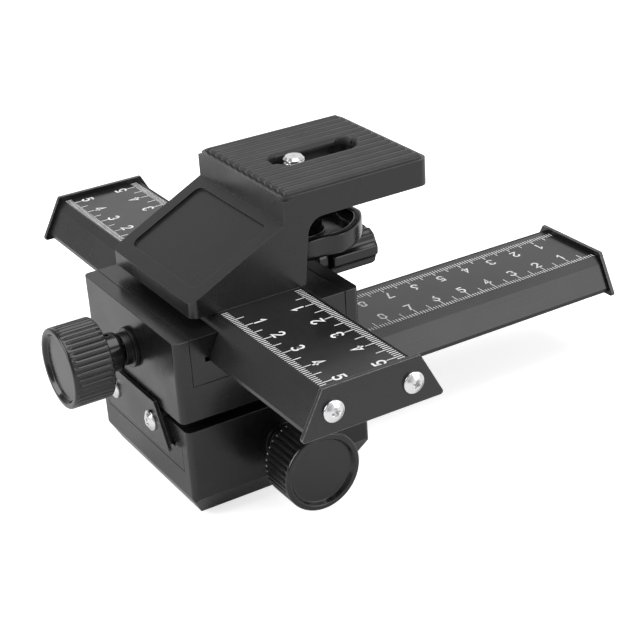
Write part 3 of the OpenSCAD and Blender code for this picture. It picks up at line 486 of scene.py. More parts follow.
# %% Metals
MACHINING_HEIGHT = 0.003 * MM
MACHINING_STRENGTH = 0.15


def metal(name, colour, roughness, scale):
    """A bare or plated metal with fine machining marks."""
    material, shader, place = start_material(name, colour, roughness, 1.0)
    marks = noise_of(material, place, scale, 4.0)
    vary(material, shader, "Roughness", ranged(material, marks, roughness - 0.06, roughness + 0.08))
    add_bump(material, shader, marks, MACHINING_STRENGTH, MACHINING_HEIGHT)
    return material


bright_nickel = metal("bright_nickel", (0.7, 0.7, 0.71), 0.2, 900.0)
zinc_plate = metal("zinc_plate", (0.6, 0.61, 0.63), 0.32, 1500.0)
ground_steel = metal("ground_steel", (0.5, 0.5, 0.51), 0.28, 2200.0)
black_oxide = metal("black_oxide", (0.045, 0.045, 0.047), 0.36, 1800.0)
machined_brass = metal("machined_brass", (0.72, 0.53, 0.25), 0.3, 1400.0)

# %% [markdown]
# ## Castings, rails and plates
#
# The castings get the widest rounds, because a mould needs them. Extrusions have sharper edges, and the
# stamped end plates sharper still. A rail's bevelled shoulders meet at shallow angles, so its copy rounds
# every edge above 12 degrees, where 28 is enough for the rest.

# %% Rounded copies of the model's solid pieces
# Node, material, slot, round in millimetres and, on the rails, the least angle of a rounded edge
SOLID_PIECES = [
    ("base_housing", casting_enamel, "housing_paint", 0.5),
    ("carriage_housing", casting_enamel, "housing_paint", 0.5),
    ("camera_bracket", bracket_enamel, "bracket_paint", 0.6),
    ("lower_rail", rail_black["lower"], "rail_anodised", 0.2, 12),
    ("upper_rail", rail_black["upper"], "rail_anodised", 0.2, 12),
    ("lower_channel_liner", liner_black["lower"], "liner_anodised", 0.2),
    ("upper_channel_liner", liner_black["upper"], "liner_anodised", 0.2),
    ("lower_clamp_gib", liner_black["lower"], "liner_anodised", 0.2),
    ("upper_clamp_gib", liner_black["upper"], "liner_anodised", 0.2),
    ("lower_near_end_plate", plate_enamel, "end_plate_paint", 0.15),
    ("lower_far_end_plate", plate_enamel, "end_plate_paint", 0.15),
    ("left_end_plate", plate_enamel, "end_plate_paint", 0.15),
    ("right_end_plate", plate_enamel, "end_plate_paint", 0.15),
    ("lower_outer_bush", black_oxide, "black_screw", 0.15),
    ("upper_outer_bush", black_oxide, "black_screw", 0.15),
    ("lower_drive_hub", hub_black, "hub_metal", 0.2),
    ("upper_drive_hub", hub_black, "hub_metal", 0.2),
    ("lower_scale", strip_grey, "scale_print", 0.05),
    ("upper_scales", strip_grey, "scale_print", 0.05),
    ("carriage_fixing_screws", black_oxide, "black_screw", 0.2),
    ("bracket_screws", black_oxide, "black_screw", 0.2),
    ("slot_slider", black_oxide, "black_screw", 0.15),
    ("retaining_ring", black_oxide, "black_screw", 0.1),
]
for node, material, slot, width, *angle in SOLID_PIECES:
    rounded_copy(node, material, slot, width * MM, *angle)

# %% [markdown]
# The hidden pieces keep their own mesh from the model, because their shape is already right. They only
# get a material on their slots.

# %% Materials for the pieces that stay as they are
KEPT_PIECES = {
    "liner_screws": zinc_plate, "rack_screws": zinc_plate, "rack": ground_steel, "drive_shaft": ground_steel,
    "pinion": machined_brass, "inner_bush": machined_brass, "grub_screw": black_oxide,
}
for way in ("lower", "upper"):
    for kind, material in KEPT_PIECES.items():
        mesh = frame["nodes"][way + "_" + kind].data
        mesh.materials.clear()
        mesh.materials.append(material)
print(len(KEPT_PIECES), "pieces of each way keep their mesh")

# %% [markdown]
# ## The drive knobs
#
# A drive knob is a moulded grip with forty rounded ridges and a dished face inside a smooth rim. It is a
# turned form whose radius also depends on the angle: the ridges are arches that meet in sharp valleys, and
# they fade out before the rim.

# %% Fluted drive knobs
DRIVE_SIDES = {"lower": (1, 0, 0), "upper": (0, -1, 0)}
KNOB_RIDGES = 40
POINTS_PER_RIDGE = 10
PROFILE_STEP = 0.8 * MM
KNOB_ROUNDS = [0.7 * MM, 0.8 * MM, 0.35 * MM, 0.3 * MM]
RIM_WIDTH = 1.7 * MM
DISH_DEPTH = 1.2 * MM
DISH_LIP = 0.1 * MM
DISH_SLANT = 0.7 * MM
RIDGE_HEIGHT = 0.42 * MM
RIDGE_FULLNESS = 0.8
RIDGE_START = 0.3 * MM
RIDGE_RISE = 0.4 * MM
RIDGE_STOP = 1.3 * MM
RIDGE_FALL = 0.35 * MM
RIDGE_BAND = 0.9 * MM
RIDGE_BAND_FADE = 0.5 * MM


def drive_knob(way, outward):
    """Profile: back face, ridged side, rim, slanted dish wall and flat dish. Ridges: the radius drops from
    its full value by (1 - |cos(n t / 2)|^0.8) times their height, between the back and the rim."""
    node = way + "_drive_knob"
    size = extent(node)
    radius = size[2] / 2
    length = min(size[0], size[1])
    dish = radius - RIM_WIDTH
    corners = [
        (0, 0), (radius, 0), (radius, length), (dish + DISH_LIP, length),
        (dish - DISH_SLANT, length - DISH_DEPTH), (0, length - DISH_DEPTH),
    ]
    profile = stretched(rounded_line(corners, KNOB_ROUNDS, 6), PROFILE_STEP)

    def ridged(r, h, t):
        side = np.clip((r - (radius - RIDGE_BAND)) / RIDGE_BAND_FADE, 0, 1)
        rise = np.clip((h - RIDGE_START) / RIDGE_RISE, 0, 1)
        fall = np.clip((length - RIDGE_STOP - h) / RIDGE_FALL, 0, 1)
        arch = 1 - np.abs(np.cos(KNOB_RIDGES * t / 2)) ** RIDGE_FULLNESS
        return r - RIDGE_HEIGHT * arch * side * rise * fall

    points, faces = turned(profile, KNOB_RIDGES * POINTS_PER_RIDGE, ridged)
    return add_piece(node + "_grip", laid_through(points, node, length, outward), faces, knob_black,
                     way + "_drive", [node], 40)


for way, side in DRIVE_SIDES.items():
    drive_knob(way, side)

# %% [markdown]
# ## The lock knobs and their screws
#
# The little lock knobs have six shallow notches and a smooth neck. A notch is a circle that bites into
# the outline, so along a ray at angle a from its middle the outline lies where the ray meets that circle.
# The same formula serves the big lobed knob under the platform.

# %% Outlines with circular bites
def bitten(radius, bites, bite_radius, depth, turn):
    """A function of the angle: the distance from the axis to an outline of the given radius that circular
    bites of bite_radius cut to the depth. The ray meets a bite at D cos a - sqrt(b^2 - D^2 sin^2 a)."""
    reach = radius + bite_radius - depth

    def outline(t):
        a = (t - turn + np.pi / bites) % (2 * np.pi / bites) - np.pi / bites
        inside = bite_radius ** 2 - (reach * np.sin(a)) ** 2
        meets = reach * np.cos(a) - np.sqrt(np.maximum(inside, 0))
        return np.where(inside > 0, np.minimum(meets, radius), radius)

    return outline


def softened(outline, turns, width):
    """The outline's values at evenly spaced angles, averaged with their neighbours so that its corners
    become round."""
    t = np.linspace(0, 2 * np.pi, turns, endpoint=False)
    values = outline(t)
    weights = np.hanning(width + 2)[1:-1]
    weights /= weights.sum()
    shifted = [np.roll(values, k - width // 2) * w for k, w in enumerate(weights)]
    return np.sum(shifted, 0)


# %% Lock knobs
LOCK_SIDES = {"lower": (-1, 0, 0), "upper": (0, 1, 0)}
LOCK_TURNS = 240
LOCK_ROUNDS = [0.5 * MM, 0.6 * MM, 1.2 * MM, 1.3 * MM]
LOCK_NECK = 3.2 * MM
LOCK_NECK_RADIUS = 4.0 * MM
LOCK_SHOULDER = 0.5 * MM
LOCK_DOME = 0.3 * MM
LOCK_NOTCHES = 6
NOTCH_RADIUS = 2.0 * MM
NOTCH_DEPTH = 1.0 * MM
NOTCH_SOFTENING = 7
NOTCH_MARGIN = 0.1 * MM


def lock_knob(way, outward):
    """Profile: neck, shoulder, notched grip and a slightly domed end. The notches act on the grip alone."""
    node = way + "_lock_knob"
    radius = extent(node)[2] / 2
    length = max(extent(node)[:2])
    corners = [
        (0, 0), (LOCK_NECK_RADIUS, 0), (LOCK_NECK_RADIUS, LOCK_NECK), (radius, LOCK_NECK + LOCK_SHOULDER),
        (radius, length - LOCK_DOME), (0, length),
    ]
    profile = stretched(rounded_line(corners, LOCK_ROUNDS, 6), PROFILE_STEP)
    notches = bitten(radius, LOCK_NOTCHES, NOTCH_RADIUS, NOTCH_DEPTH, np.pi / LOCK_NOTCHES)
    shape = softened(notches, LOCK_TURNS, NOTCH_SOFTENING)

    def notched(r, h, t):
        share = np.clip((r - LOCK_NECK_RADIUS) / (radius - LOCK_NECK_RADIUS), 0, 1) ** 2
        on_grip = share * (h > LOCK_NECK - NOTCH_MARGIN)
        return r * (1 - on_grip * (1 - shape[None, :] / radius))

    points, faces = turned(profile, LOCK_TURNS, notched)
    return add_piece(node + "_grip", laid_through(points, node, length, outward), faces, lock_black,
                     way + "_lock", [node], 50)


for way, side in LOCK_SIDES.items():
    lock_knob(way, side)

# %% [markdown]
# A thread is a turned form whose radius climbs with the angle: the phase is the height over the pitch,
# minus the angle over a full turn. A triangle wave of that phase gives the flanks, and clipping it gives
# flat crests and roots. The thread fades to the core at both ends, as a cut thread does.

# %% Threads
THREAD_FADE = 0.4
THREAD_STEEPNESS = 1.5
THREAD_FLAT = 0.25
THREAD_SIDE_REACH = 0.01 * MM
LOCK_SCREW_TURNS = 48
LOCK_SCREW_STEP = 0.08 * MM
LOCK_SCREW_CHAMFER = 0.4 * MM
LOCK_SCREW_PITCH = 0.8 * MM
LOCK_SCREW_DEPTH = 0.45 * MM
LOCK_SCREW_PLAIN = 0.5 * MM


def thread_radius(crest, depth, pitch, start, end):
    """radius(r, h, t) for a turned form: crest - depth * wave(h / pitch - t / 2 pi) between two heights."""
    def radius(r, h, t):
        phase = (h / pitch - t / (2 * np.pi)) % 1
        wave = np.clip(THREAD_STEEPNESS * np.abs(2 * phase - 1) - THREAD_FLAT, 0, 1)
        run_in = np.clip((h - start) / (THREAD_FADE * pitch), 0, 1)
        run_out = np.clip((end - h) / (THREAD_FADE * pitch), 0, 1)
        on_side = np.abs(r - crest) < THREAD_SIDE_REACH
        return r - on_side * depth * wave * (run_in * run_out)

    return radius


def lock_screw(way, outward):
    """A threaded rod from the clamp to the lock knob. Profile: chamfered end and plain side."""
    node = way + "_lock_screw"
    radius = extent(node)[2] / 2
    length = max(extent(node)[:2])
    chamfer = LOCK_SCREW_CHAMFER
    corners = [(0, 0), (radius - chamfer, 0), (radius, chamfer), (radius, length), (0, length)]
    profile = stretched(np.array(corners), LOCK_SCREW_STEP)
    thread = thread_radius(radius, LOCK_SCREW_DEPTH, LOCK_SCREW_PITCH, LOCK_SCREW_PLAIN, length)
    points, faces = turned(profile, LOCK_SCREW_TURNS, thread)
    return add_piece(node + "_thread", laid_through(points, node, length, outward), faces, ground_steel,
                     way + "_lock", [node], 60)


for way, side in LOCK_SIDES.items():
    lock_screw(way, side)

# %% [markdown]
# ## The camera screw and its lobed knob
#
# The screw that holds the camera stands in the platform's slot: a quarter-inch thread with a chamfered tip
# over a plain shank. The thread has 20 turns to the inch, which is a pitch of 1.27 mm.

# %% Camera screw
screw_low, screw_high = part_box("camera_screw")
screw_axis = centre("camera_screw")
screw_radius = extent("camera_screw")[0] / 2
ring_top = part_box("retaining_ring")[1].z
SHANK_RADIUS = 2.5 * MM
RING_GAP = 0.1 * MM
TIP_CHAMFER = 0.7 * MM
TIP_DIMPLE_RADIUS = 0.6 * MM
TIP_DIMPLE_DEPTH = 0.25 * MM
CAMERA_THREAD_PITCH = 1.27 * MM
CAMERA_THREAD_DEPTH = 0.6 * MM
CAMERA_SCREW_STEP = 0.1 * MM
CAMERA_SCREW_TURNS = 72


def camera_screw():
    """Profile: shank, thread and chamfered tip with a small centre dimple left by the lathe."""
    height = screw_high.z - screw_low.z
    foot = ring_top + RING_GAP - screw_low.z
    tip = height - TIP_CHAMFER
    corners = [
        (0, 0), (SHANK_RADIUS, 0), (SHANK_RADIUS, foot), (screw_radius, foot),
        (screw_radius, tip), (screw_radius - TIP_CHAMFER, height),
        (TIP_DIMPLE_RADIUS, height), (0, height - TIP_DIMPLE_DEPTH),
    ]
    profile = stretched(np.array(corners), CAMERA_SCREW_STEP)
    thread = thread_radius(screw_radius, CAMERA_THREAD_DEPTH, CAMERA_THREAD_PITCH, foot, tip)
    points, faces = turned(profile, CAMERA_SCREW_TURNS, thread)
    origin = (screw_axis[0], screw_axis[1], screw_low.z)
    return add_piece("camera_screw_thread", stand(points, origin, (0, 0, 1)), faces, bright_nickel,
                     "screw", ["camera_screw"], 40)


camera_screw()

# %% [markdown]
# The knob under the platform is a thick disc that a hand reaches from both sides. It has four shallow
# valleys for the fingers, a dished top and a hub. The valleys are bites of a wide circle, and the dish
# follows them, so the rim keeps nearly the same width all round.

# %% Lobed knob
knob_low, knob_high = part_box("camera_screw_knob")
LOBES = 4
LOBE_TURN = math.radians(85)
LOBE_TURNS = 360
VALLEY_RADIUS = 18.0 * MM
VALLEY_DEPTH = 1.3 * MM
VALLEY_SOFTENING = 15
RIM_HEIGHT = 6.5 * MM
LOBE_RIM_WIDTH = 2.4 * MM
LOBE_WALL_SLANT = 0.8 * MM
HUB_RADIUS = 7.0 * MM
KNOB_RADIUS = 18.8 * MM
KNOB_DISH = 4.2 * MM
LOBE_ROUNDS = [1.7 * MM, 0.6 * MM, 0.6 * MM, 1.0 * MM, 1.0 * MM, 0.7 * MM]
LOBE_STEP = 1.0 * MM


def camera_knob():
    """Profile: rounded underside, rim, deep dish and hub. The valleys act in proportion to the radius
    outside the hub, so the dish follows the outline."""
    height = knob_high.z - knob_low.z
    dish_edge = KNOB_RADIUS - LOBE_RIM_WIDTH
    dish_floor = RIM_HEIGHT - KNOB_DISH
    corners = [
        (0, 0), (KNOB_RADIUS, 0), (KNOB_RADIUS, RIM_HEIGHT), (dish_edge, RIM_HEIGHT),
        (dish_edge - LOBE_WALL_SLANT, dish_floor), (HUB_RADIUS, dish_floor),
        (HUB_RADIUS, height), (0, height),
    ]
    profile = stretched(rounded_line(corners, LOBE_ROUNDS, 7), LOBE_STEP)
    valleys = bitten(KNOB_RADIUS, LOBES, VALLEY_RADIUS, VALLEY_DEPTH, LOBE_TURN)
    shape = softened(valleys, LOBE_TURNS, VALLEY_SOFTENING)

    def lobed(r, h, t):
        share = np.clip((r - HUB_RADIUS) / (KNOB_RADIUS - HUB_RADIUS), 0, 1)
        return r - share * (KNOB_RADIUS - shape[None, :])

    points, faces = turned(profile, LOBE_TURNS, lobed)
    origin = (screw_axis[0], screw_axis[1], knob_low.z)
    return add_piece("camera_screw_knob_grip", stand(points, origin, (0, 0, 1)), faces, lock_black,
                     "screw", ["camera_screw_knob"], 50)


camera_knob()

# %% [markdown]
# ## Cross-recess screws
#
# Eight bright screws hold the end plates. Each head is a shallow dome with a flat band at its edge. The
# cross recess is a pit in the dome: its depth at a point depends on the distance from the nearer arm's
# middle line and on how far out along the arm the point lies, so the arms taper towards their ends as a
# driver's tip does.

# %% End plate screws
HEAD_RADIUS = 3.1 * MM
HEAD_HEIGHT = 1.9 * MM
HEAD_EDGE = 0.55 * MM
HEAD_BAND = 0.25 * MM
HEAD_RINGS = 26
RING_POWER = 0.9
HEAD_TURNS = 96
DOME_POWER = 2.2
SHANK = 1.5 * MM
SHANK_LENGTH = 6.0 * MM
SCREW_ROUNDS = [0.3 * MM, 0, 0.15 * MM, 0.35 * MM]
ARM_HALF_WIDTH = 0.42 * MM
ARM_WALL = 0.18 * MM
ARM_LENGTH = 1.35 * MM
ARM_SLOPE = 0.9 * MM
CROSS_DEPTH = 1.1 * MM


def screw_form(twist):
    """Points and faces of one screw about +Z with its seat at height 0. Dome: the height above the edge band
    falls with 1 - (r / R)^2.2. Pit: depth times a share across the nearer arm times a share along it."""
    ring = np.linspace(1, 0, HEAD_RINGS) ** RING_POWER * (HEAD_RADIUS - HEAD_EDGE)
    height = HEAD_EDGE + (HEAD_HEIGHT - HEAD_EDGE) * (1 - (ring / HEAD_RADIUS) ** DOME_POWER)
    dome = np.column_stack([ring, height])
    corners = [
        (0, -SHANK_LENGTH), (SHANK, -SHANK_LENGTH), (SHANK, 0), (HEAD_RADIUS, 0),
        (HEAD_RADIUS, HEAD_EDGE + HEAD_BAND), dome[0],
    ]
    profile = np.concatenate([rounded_line(corners, SCREW_ROUNDS, 4), dome[1:]])
    points, faces = turned(profile, HEAD_TURNS)
    x, y = points[..., 0], points[..., 1]
    u = x * math.cos(twist) + y * math.sin(twist)
    v = -x * math.sin(twist) + y * math.cos(twist)
    long, short = np.maximum(np.abs(u), np.abs(v)), np.minimum(np.abs(u), np.abs(v))
    across = np.clip((ARM_HALF_WIDTH - short) / ARM_WALL + 0.5, 0, 1)
    inward = np.clip((ARM_LENGTH - long) / ARM_SLOPE, 0, 1)
    on_top = points[..., 2] > HEAD_EDGE
    points[..., 2] -= on_top * CROSS_DEPTH * across * inward
    return points, faces


def end_screws(way, places, outward, twists):
    """Several screws as one piece that stands for the node of its way."""
    forms = [screw_form(twist) for twist in twists]
    points = [stand(form, place, axis).reshape(-1, 3)
              for (form, _), place, axis in zip(forms, places, outward)]
    starts = np.cumsum([0] + [len(p) for p in points[:-1]])
    faces = np.concatenate([form[1] + start for form, start in zip(forms, starts)])
    return add_piece(way + "_end_screw_heads", np.concatenate(points), faces, bright_nickel,
                     way + "_carriage", [way + "_end_screws"], 30)


# %% [markdown]
# A screw stops at any angle, so each cross has its own twist. The seats are read from the box of the model's
# own screws: it ends at the heads' tops, and on the sides at the heads' edges.

# %% The places of the screws
SCREW_TWISTS = [0.5, 1.1, 0.2, 0.9]


def screw_places(way):
    """Four seats and outward directions: two screws on each end plate, read from the screws' own box."""
    low, high = (np.array(c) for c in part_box(way + "_end_screws"))
    along = 0 if way == "upper" else 1
    across = 1 - along
    height = (low[2] + high[2]) / 2
    places, directions = [], []
    for end, sign in ((low, -1), (high, 1)):
        for side in (low[across] + HEAD_RADIUS, high[across] - HEAD_RADIUS):
            place = np.zeros(3)
            place[along] = end[along] - sign * HEAD_HEIGHT
            place[across] = side
            place[2] = height
            axis = np.zeros(3)
            axis[along] = sign
            places.append(place)
            directions.append(axis)
    return places, directions


for way in ("lower", "upper"):
    places, directions = screw_places(way)
    end_screws(way, places, directions, SCREW_TWISTS)

# %% [markdown]
# ## Ribbed rubber
#
# The platform's pad and the foot are rubber sheets with rounded ribs. Seen from above each is a height over
# a flat grid: ribs repeat across it, and every rib rounds off where it ends, at the sheet's edge or at the
# opening for the screw. The distance to the opening's outline is a plain formula, so grid points close
# to it can be moved onto it, and the faces inside are dropped. The sheet is then closed with a
# flat underside and walls.

# %% Closed sheets over a grid
def close_sheet(top, faces, bottom):
    """Closes an open top surface: the same faces at the bottom's height, turned over, and a wall on every
    edge that only one face uses. top is a list of points."""
    below = top.copy()
    below[:, 2] = bottom
    edges = np.concatenate([faces[:, [k, (k + 1) % 4]] for k in range(4)])
    key = np.sort(edges, 1) @ np.array([len(top), 1])
    _, first, count = np.unique(key, return_index=True, return_counts=True)
    border = edges[first[count == 1]]
    walls = np.column_stack([border[:, ::-1], border + len(top)])
    return np.concatenate([top, below]), np.concatenate([faces, faces[:, ::-1] + len(top), walls])


def slot_distance(x, y, start, end, half_width):
    """Distance from a slot with round ends along Y, negative inside it."""
    middle = np.clip(y, start + half_width, end - half_width)
    return np.hypot(x, y - middle) - half_width


# %% Ribs
RIB_CREST = 2.4
RIB_FULLNESS = 0.8
RIB_END_ROUND = 0.9 * MM
RIB_SIDE_MARGIN = 0.3 * MM
COLUMNS_PER_RIB = 12
SHEET_ROWS = 150
SLOPE_STEP = 0.01 * MM
SNAP_SHARE = 0.55


def ribbed_sheet(size, ribs, base, rib_height, opening):
    """Points and faces of a ribbed sheet about the origin. Rib at share u of its pitch: (1 - |2u|^2.4)^0.8.
    Rounded ends: a quarter circle of the distance to the nearest end. Points near the opening's outline
    move onto it against the slope of the distance."""
    columns = np.linspace(-size[0] / 2, size[0] / 2, ribs * COLUMNS_PER_RIB + 1)
    rows = np.linspace(-size[1] / 2, size[1] / 2, SHEET_ROWS)
    y, x = np.meshgrid(rows, columns, indexing="ij")
    away = opening(x, y)
    step = 0.5 * (rows[1] - rows[0] + columns[1] - columns[0])
    slope_x = (opening(x + SLOPE_STEP, y) - away) / SLOPE_STEP
    slope_y = (opening(x, y + SLOPE_STEP) - away) / SLOPE_STEP
    close = np.abs(away) < SNAP_SHARE * step
    x, y = x - close * away * slope_x, y - close * away * slope_y
    away = np.where(close, 0, away)
    share = ((x + size[0] / 2) / size[0] * ribs) % 1 - 0.5
    rib = (1 - np.abs(2 * share).clip(0, 1) ** RIB_CREST) ** RIB_FULLNESS
    to_side = size[0] / 2 - np.abs(x) + RIB_SIDE_MARGIN
    ends = np.minimum(np.minimum(size[1] / 2 - np.abs(y), away), to_side)
    rounding = np.sqrt(1 - (1 - np.clip(ends / RIB_END_ROUND, 0, 1)) ** 2)
    z = base + rib_height * rib * rounding
    points = np.stack([x, y, z], -1).reshape(-1, 3)
    faces = grid_quads(len(rows), len(columns), closed=False)
    outside = (away >= 0).reshape(-1)[faces].all(1)
    return close_sheet(points, faces[outside], 0.0)


# %% [markdown]
# The pad lies on the platform and keeps a camera from sliding. Its thirteen ribs run along the slot, and the
# opening round the slot is a little wider than the slot itself, so that the screw never rubs on rubber.

# %% Platform pad
PAD_RIBS = 13
PAD_SHEET = 1.0 * MM
SLOT_HALF_WIDTH = 4.7 * MM
SLOT_LENGTH = 28.5 * MM
SLOT_BEFORE_SCREW = 7.6 * MM
pad_middle = centre("platform_pad")
pad_size = extent("platform_pad")
slot_start = screw_axis[1] - SLOT_BEFORE_SCREW - pad_middle[1]


def pad_slot(x, y):
    """Distance from the platform's slot, in the pad's own place."""
    return slot_distance(x, y, slot_start, slot_start + SLOT_LENGTH, SLOT_HALF_WIDTH)


pad_points, pad_faces = ribbed_sheet(pad_size, PAD_RIBS, PAD_SHEET, pad_size[2] - PAD_SHEET, pad_slot)
pad_points += np.array([pad_middle[0], pad_middle[1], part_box("platform_pad")[0].z])
add_piece("platform_pad_ribs", pad_points, pad_faces, pad_rubber, "upper_carriage",
          ["platform_pad"], 50)

# %% [markdown]
# The foot is the same sheet turned over, with a round hole that leaves the tripod thread free. It is made
# face up and then turned half round the Y axis, so its faces still point outwards.

# %% Foot pad
FOOT_RIBS = 12
FOOT_SHEET = 0.6 * MM
FOOT_HOLE_RADIUS = 8.0 * MM


def foot_hole(x, y):
    """Distance from the round hole under the tripod thread."""
    return np.hypot(x, y) - FOOT_HOLE_RADIUS


foot_size = extent("foot_pad")
foot_points, foot_faces = ribbed_sheet(
    foot_size, FOOT_RIBS, FOOT_SHEET, foot_size[2] - FOOT_SHEET, foot_hole)
foot_points[:, [0, 2]] *= -1
add_piece("foot_pad_ribs", foot_points, foot_faces, foot_rubber, "base", ["foot_pad"], 50)

# %% [markdown]
# ## The tripod bush
#
# A brass bush with a quarter-inch thread sits in the underside of the base. Seen from below it is a ring
# with a threaded wall, so one closed profile goes down the bore and up the outside.

# %% Tripod bush
BORE_RADIUS = 3.2 * MM
BORE_CHAMFER = 0.3 * MM
BUSH_CHAMFER = 0.2 * MM
BUSH_THREAD_DEPTH = 0.35 * MM
BUSH_THREAD_START = 0.4 * MM
BUSH_STEP = 0.12 * MM
BUSH_TURNS = 72


def tripod_bush():
    """Profile: bore, lower face, outside and upper face, closed on itself. The bore's radius grows by the
    thread's depth in its grooves."""
    radius, height = extent("tripod_bush")[0] / 2, extent("tripod_bush")[2]
    corners = [
        (BORE_RADIUS, height), (BORE_RADIUS, BORE_CHAMFER), (BORE_RADIUS + BORE_CHAMFER, 0),
        (radius - BUSH_CHAMFER, 0), (radius, BUSH_CHAMFER), (radius, height), (BORE_RADIUS, height),
    ]
    profile = stretched(np.array(corners), BUSH_STEP)
    thread = thread_radius(BORE_RADIUS, -BUSH_THREAD_DEPTH, CAMERA_THREAD_PITCH, BUSH_THREAD_START, height)
    points, faces = turned(profile, BUSH_TURNS, thread)
    return add_piece("tripod_bush_thread", points, faces, machined_brass, "base",
                     ["tripod_bush"], 50)


tripod_bush()

# %% [markdown]
# ## The printed rulers
#
# Both edges of every strip carry a ruler. The millimetre lines start near the strip's edge, and the
# centimetre and half-centimetre lines reach further in. The numbers are single strokes of even width, as a
# pantograph cuts them, and the far row is turned round so that it reads from the other side. Lines and
# numbers are thin slabs of ink, built from arrays of corners.

# %% Strokes
STROKE_END_STEPS = 6
STROKE_END_SHARE = 0.97
LEAST_MITRE = 0.6


def arc(cx, cy, rx, ry, start, end, steps=14):
    """Points of an ellipse's arc, from one angle in degrees to another."""
    a = np.radians(np.linspace(start, end, steps))
    return np.column_stack([cx + rx * np.cos(a), cy + ry * np.sin(a)])


def joined(*parts):
    """Several runs of points as one path."""
    return np.concatenate([np.atleast_2d(np.asarray(p, float)) for p in parts])


# Paths of the digits in a cell 0.6 wide and 1 high
DIGIT_PATHS = {
    1: [joined((0.14, 0.74), (0.38, 1.0), (0.38, 0.0))],
    2: [joined(arc(0.3, 0.72, 0.28, 0.28, 170, -38), (0.02, 0.0), (0.6, 0.0))],
    3: [joined(arc(0.28, 0.75, 0.25, 0.25, 155, -90)), joined(arc(0.28, 0.26, 0.29, 0.26, 95, -155))],
    4: [joined((0.6, 0.24), (0.02, 0.24), (0.42, 1.0), (0.42, 0.0))],
    5: [joined((0.54, 1.0), (0.12, 1.0), (0.08, 0.56), arc(0.28, 0.32, 0.29, 0.32, 125, -150))],
    6: [joined((0.46, 1.0), arc(0.3, 0.3, 0.28, 0.3, 150, 510, 24))],
    7: [joined((0.02, 1.0), (0.58, 1.0), (0.2, 0.0))],
    8: [joined(arc(0.3, 0.75, 0.23, 0.24, 270, -90, 22)), joined(arc(0.3, 0.26, 0.28, 0.26, 90, 450, 22))],
}


def stroke(path, width):
    """Points and quads of a band of even width along a path, with round ends. Row k of the grid crosses the
    path at its point k, half the width to both sides along the mean normal of the two neighbours. Each end
    adds rows that narrow as a half circle does: half width (1 - s^2)^0.5 at s half widths past the end."""
    steps = STROKE_END_STEPS
    ahead = np.diff(path, axis=0)
    ahead /= np.linalg.norm(ahead, axis=1)[:, None]
    before, after = np.vstack([ahead[:1], ahead]), np.vstack([ahead, ahead[-1:]])
    mean = before + after
    mean /= np.linalg.norm(mean, axis=1)[:, None]
    half = width / 2 / np.maximum(np.sum(mean * after, axis=1), LEAST_MITRE)
    s = np.sin(np.linspace(0, np.pi / 2, steps + 1)[1:] * STROKE_END_SHARE)
    past, narrow = s[:, None] * width / 2, np.sqrt(1 - s ** 2) * width / 2
    middles = np.concatenate([(path[0] - mean[0] * past)[::-1], path, path[-1] + mean[-1] * past])
    normal = np.column_stack([-mean[:, 1], mean[:, 0]])
    normal = np.concatenate([np.repeat(normal[:1], steps, 0), normal, np.repeat(normal[-1:], steps, 0)])
    half = np.concatenate([narrow[::-1], half, narrow])[:, None]
    points = np.stack([middles - normal * half, middles + normal * half], 1)
    rows = np.arange(len(points) - 1)[:, None] * 2
    return points.reshape(-1, 2), rows + np.array([0, 2, 3, 1])


# %% Lines and numbers of one ruler
LINE_WIDTH = 0.3 * MM
DIGIT_HEIGHT = 3.3 * MM
DIGIT_STROKE = 0.19
DIGIT_MIDDLE = 0.3

# Distances from the middle line: outer end of a line, inner ends of short and long lines, foot of a number.
# The near row comes first. No strip is printed and glued on exactly in the middle, so the rows differ.
UPPER_ROWS = np.array([[12.95, 11.0, 8.7, 8.2], [12.55, 10.4, 7.75, 7.1]]) * MM
LOWER_ROWS = np.array([[12.95, 11.3, 8.8, 8.4], [10.6, 8.6, 7.1, 5.8]]) * MM


def line_shape(x, outer, inner):
    """One ruler line at x between two distances, on the near side: four corners and one quad."""
    half = LINE_WIDTH / 2
    corners = [[x - half, -outer], [x + half, -outer], [x + half, -inner], [x - half, -inner]]
    return np.array(corners), np.array([[0, 1, 2, 3]])


def digit_shapes(number, x, foot):
    """The strokes of a digit centred on its line, standing inside the near row."""
    return [((points - [DIGIT_MIDDLE, 0.0]) * DIGIT_HEIGHT + [x, -foot], faces)
            for points, faces in (stroke(path, DIGIT_STROKE) for path in DIGIT_PATHS[number])]


def ruler_shapes(zero, direction, millimetres, clear, rows):
    """Both rows of a ruler that starts at zero and counts along direction. The far row is built like the
    near row and turned by half a turn about the ruler's middle line, with its numbers put back on their
    lines. Lines closer to zero than clear are left out, because the strip ends there."""
    lines, numbers = [], []
    for k in range(math.ceil(clear / MM), millimetres + 1):
        x = zero + direction * k * MM
        long = k % 5 == 0 and k > 0
        for side, place, (outer, short_end, long_end, foot) in ((1, x, rows[0]), (-1, -x, rows[1])):
            points, faces = line_shape(place, outer, long_end if long else short_end)
            lines.append((side * points, faces))
            if k % 10 == 0 and k:
                numbers += [(side * points, faces) for points, faces in digit_shapes(k // 10, place, foot)]
    return lines + numbers


# %% [markdown]
# The upper rail has a ruler on each side of the bracket, and both count outwards. The lower rail has one,
# which counts from its far end towards the block. The ink stands a little above the strip and reaches a
# little into it, so that no gap shows between them.

# %% Ink on the strips
INK_HEIGHT = 0.02 * MM
INK_DEPTH = 0.04 * MM
UPPER_ZERO = 26.4 * MM
UPPER_COUNT = 53
LOWER_ZERO = 130.1 * MM
LOWER_COUNT = 88


def in_way(flat, height, way):
    """Points of a way's own plane, X along the rail and Y across it, at a height in the object's frame."""
    x, y = flat[..., 0], flat[..., 1]
    z = np.full_like(x, height)
    if way == "lower":
        return np.stack([-y, x, z], -1)
    return np.stack([x, y + centre("upper_rail")[1], z], -1)


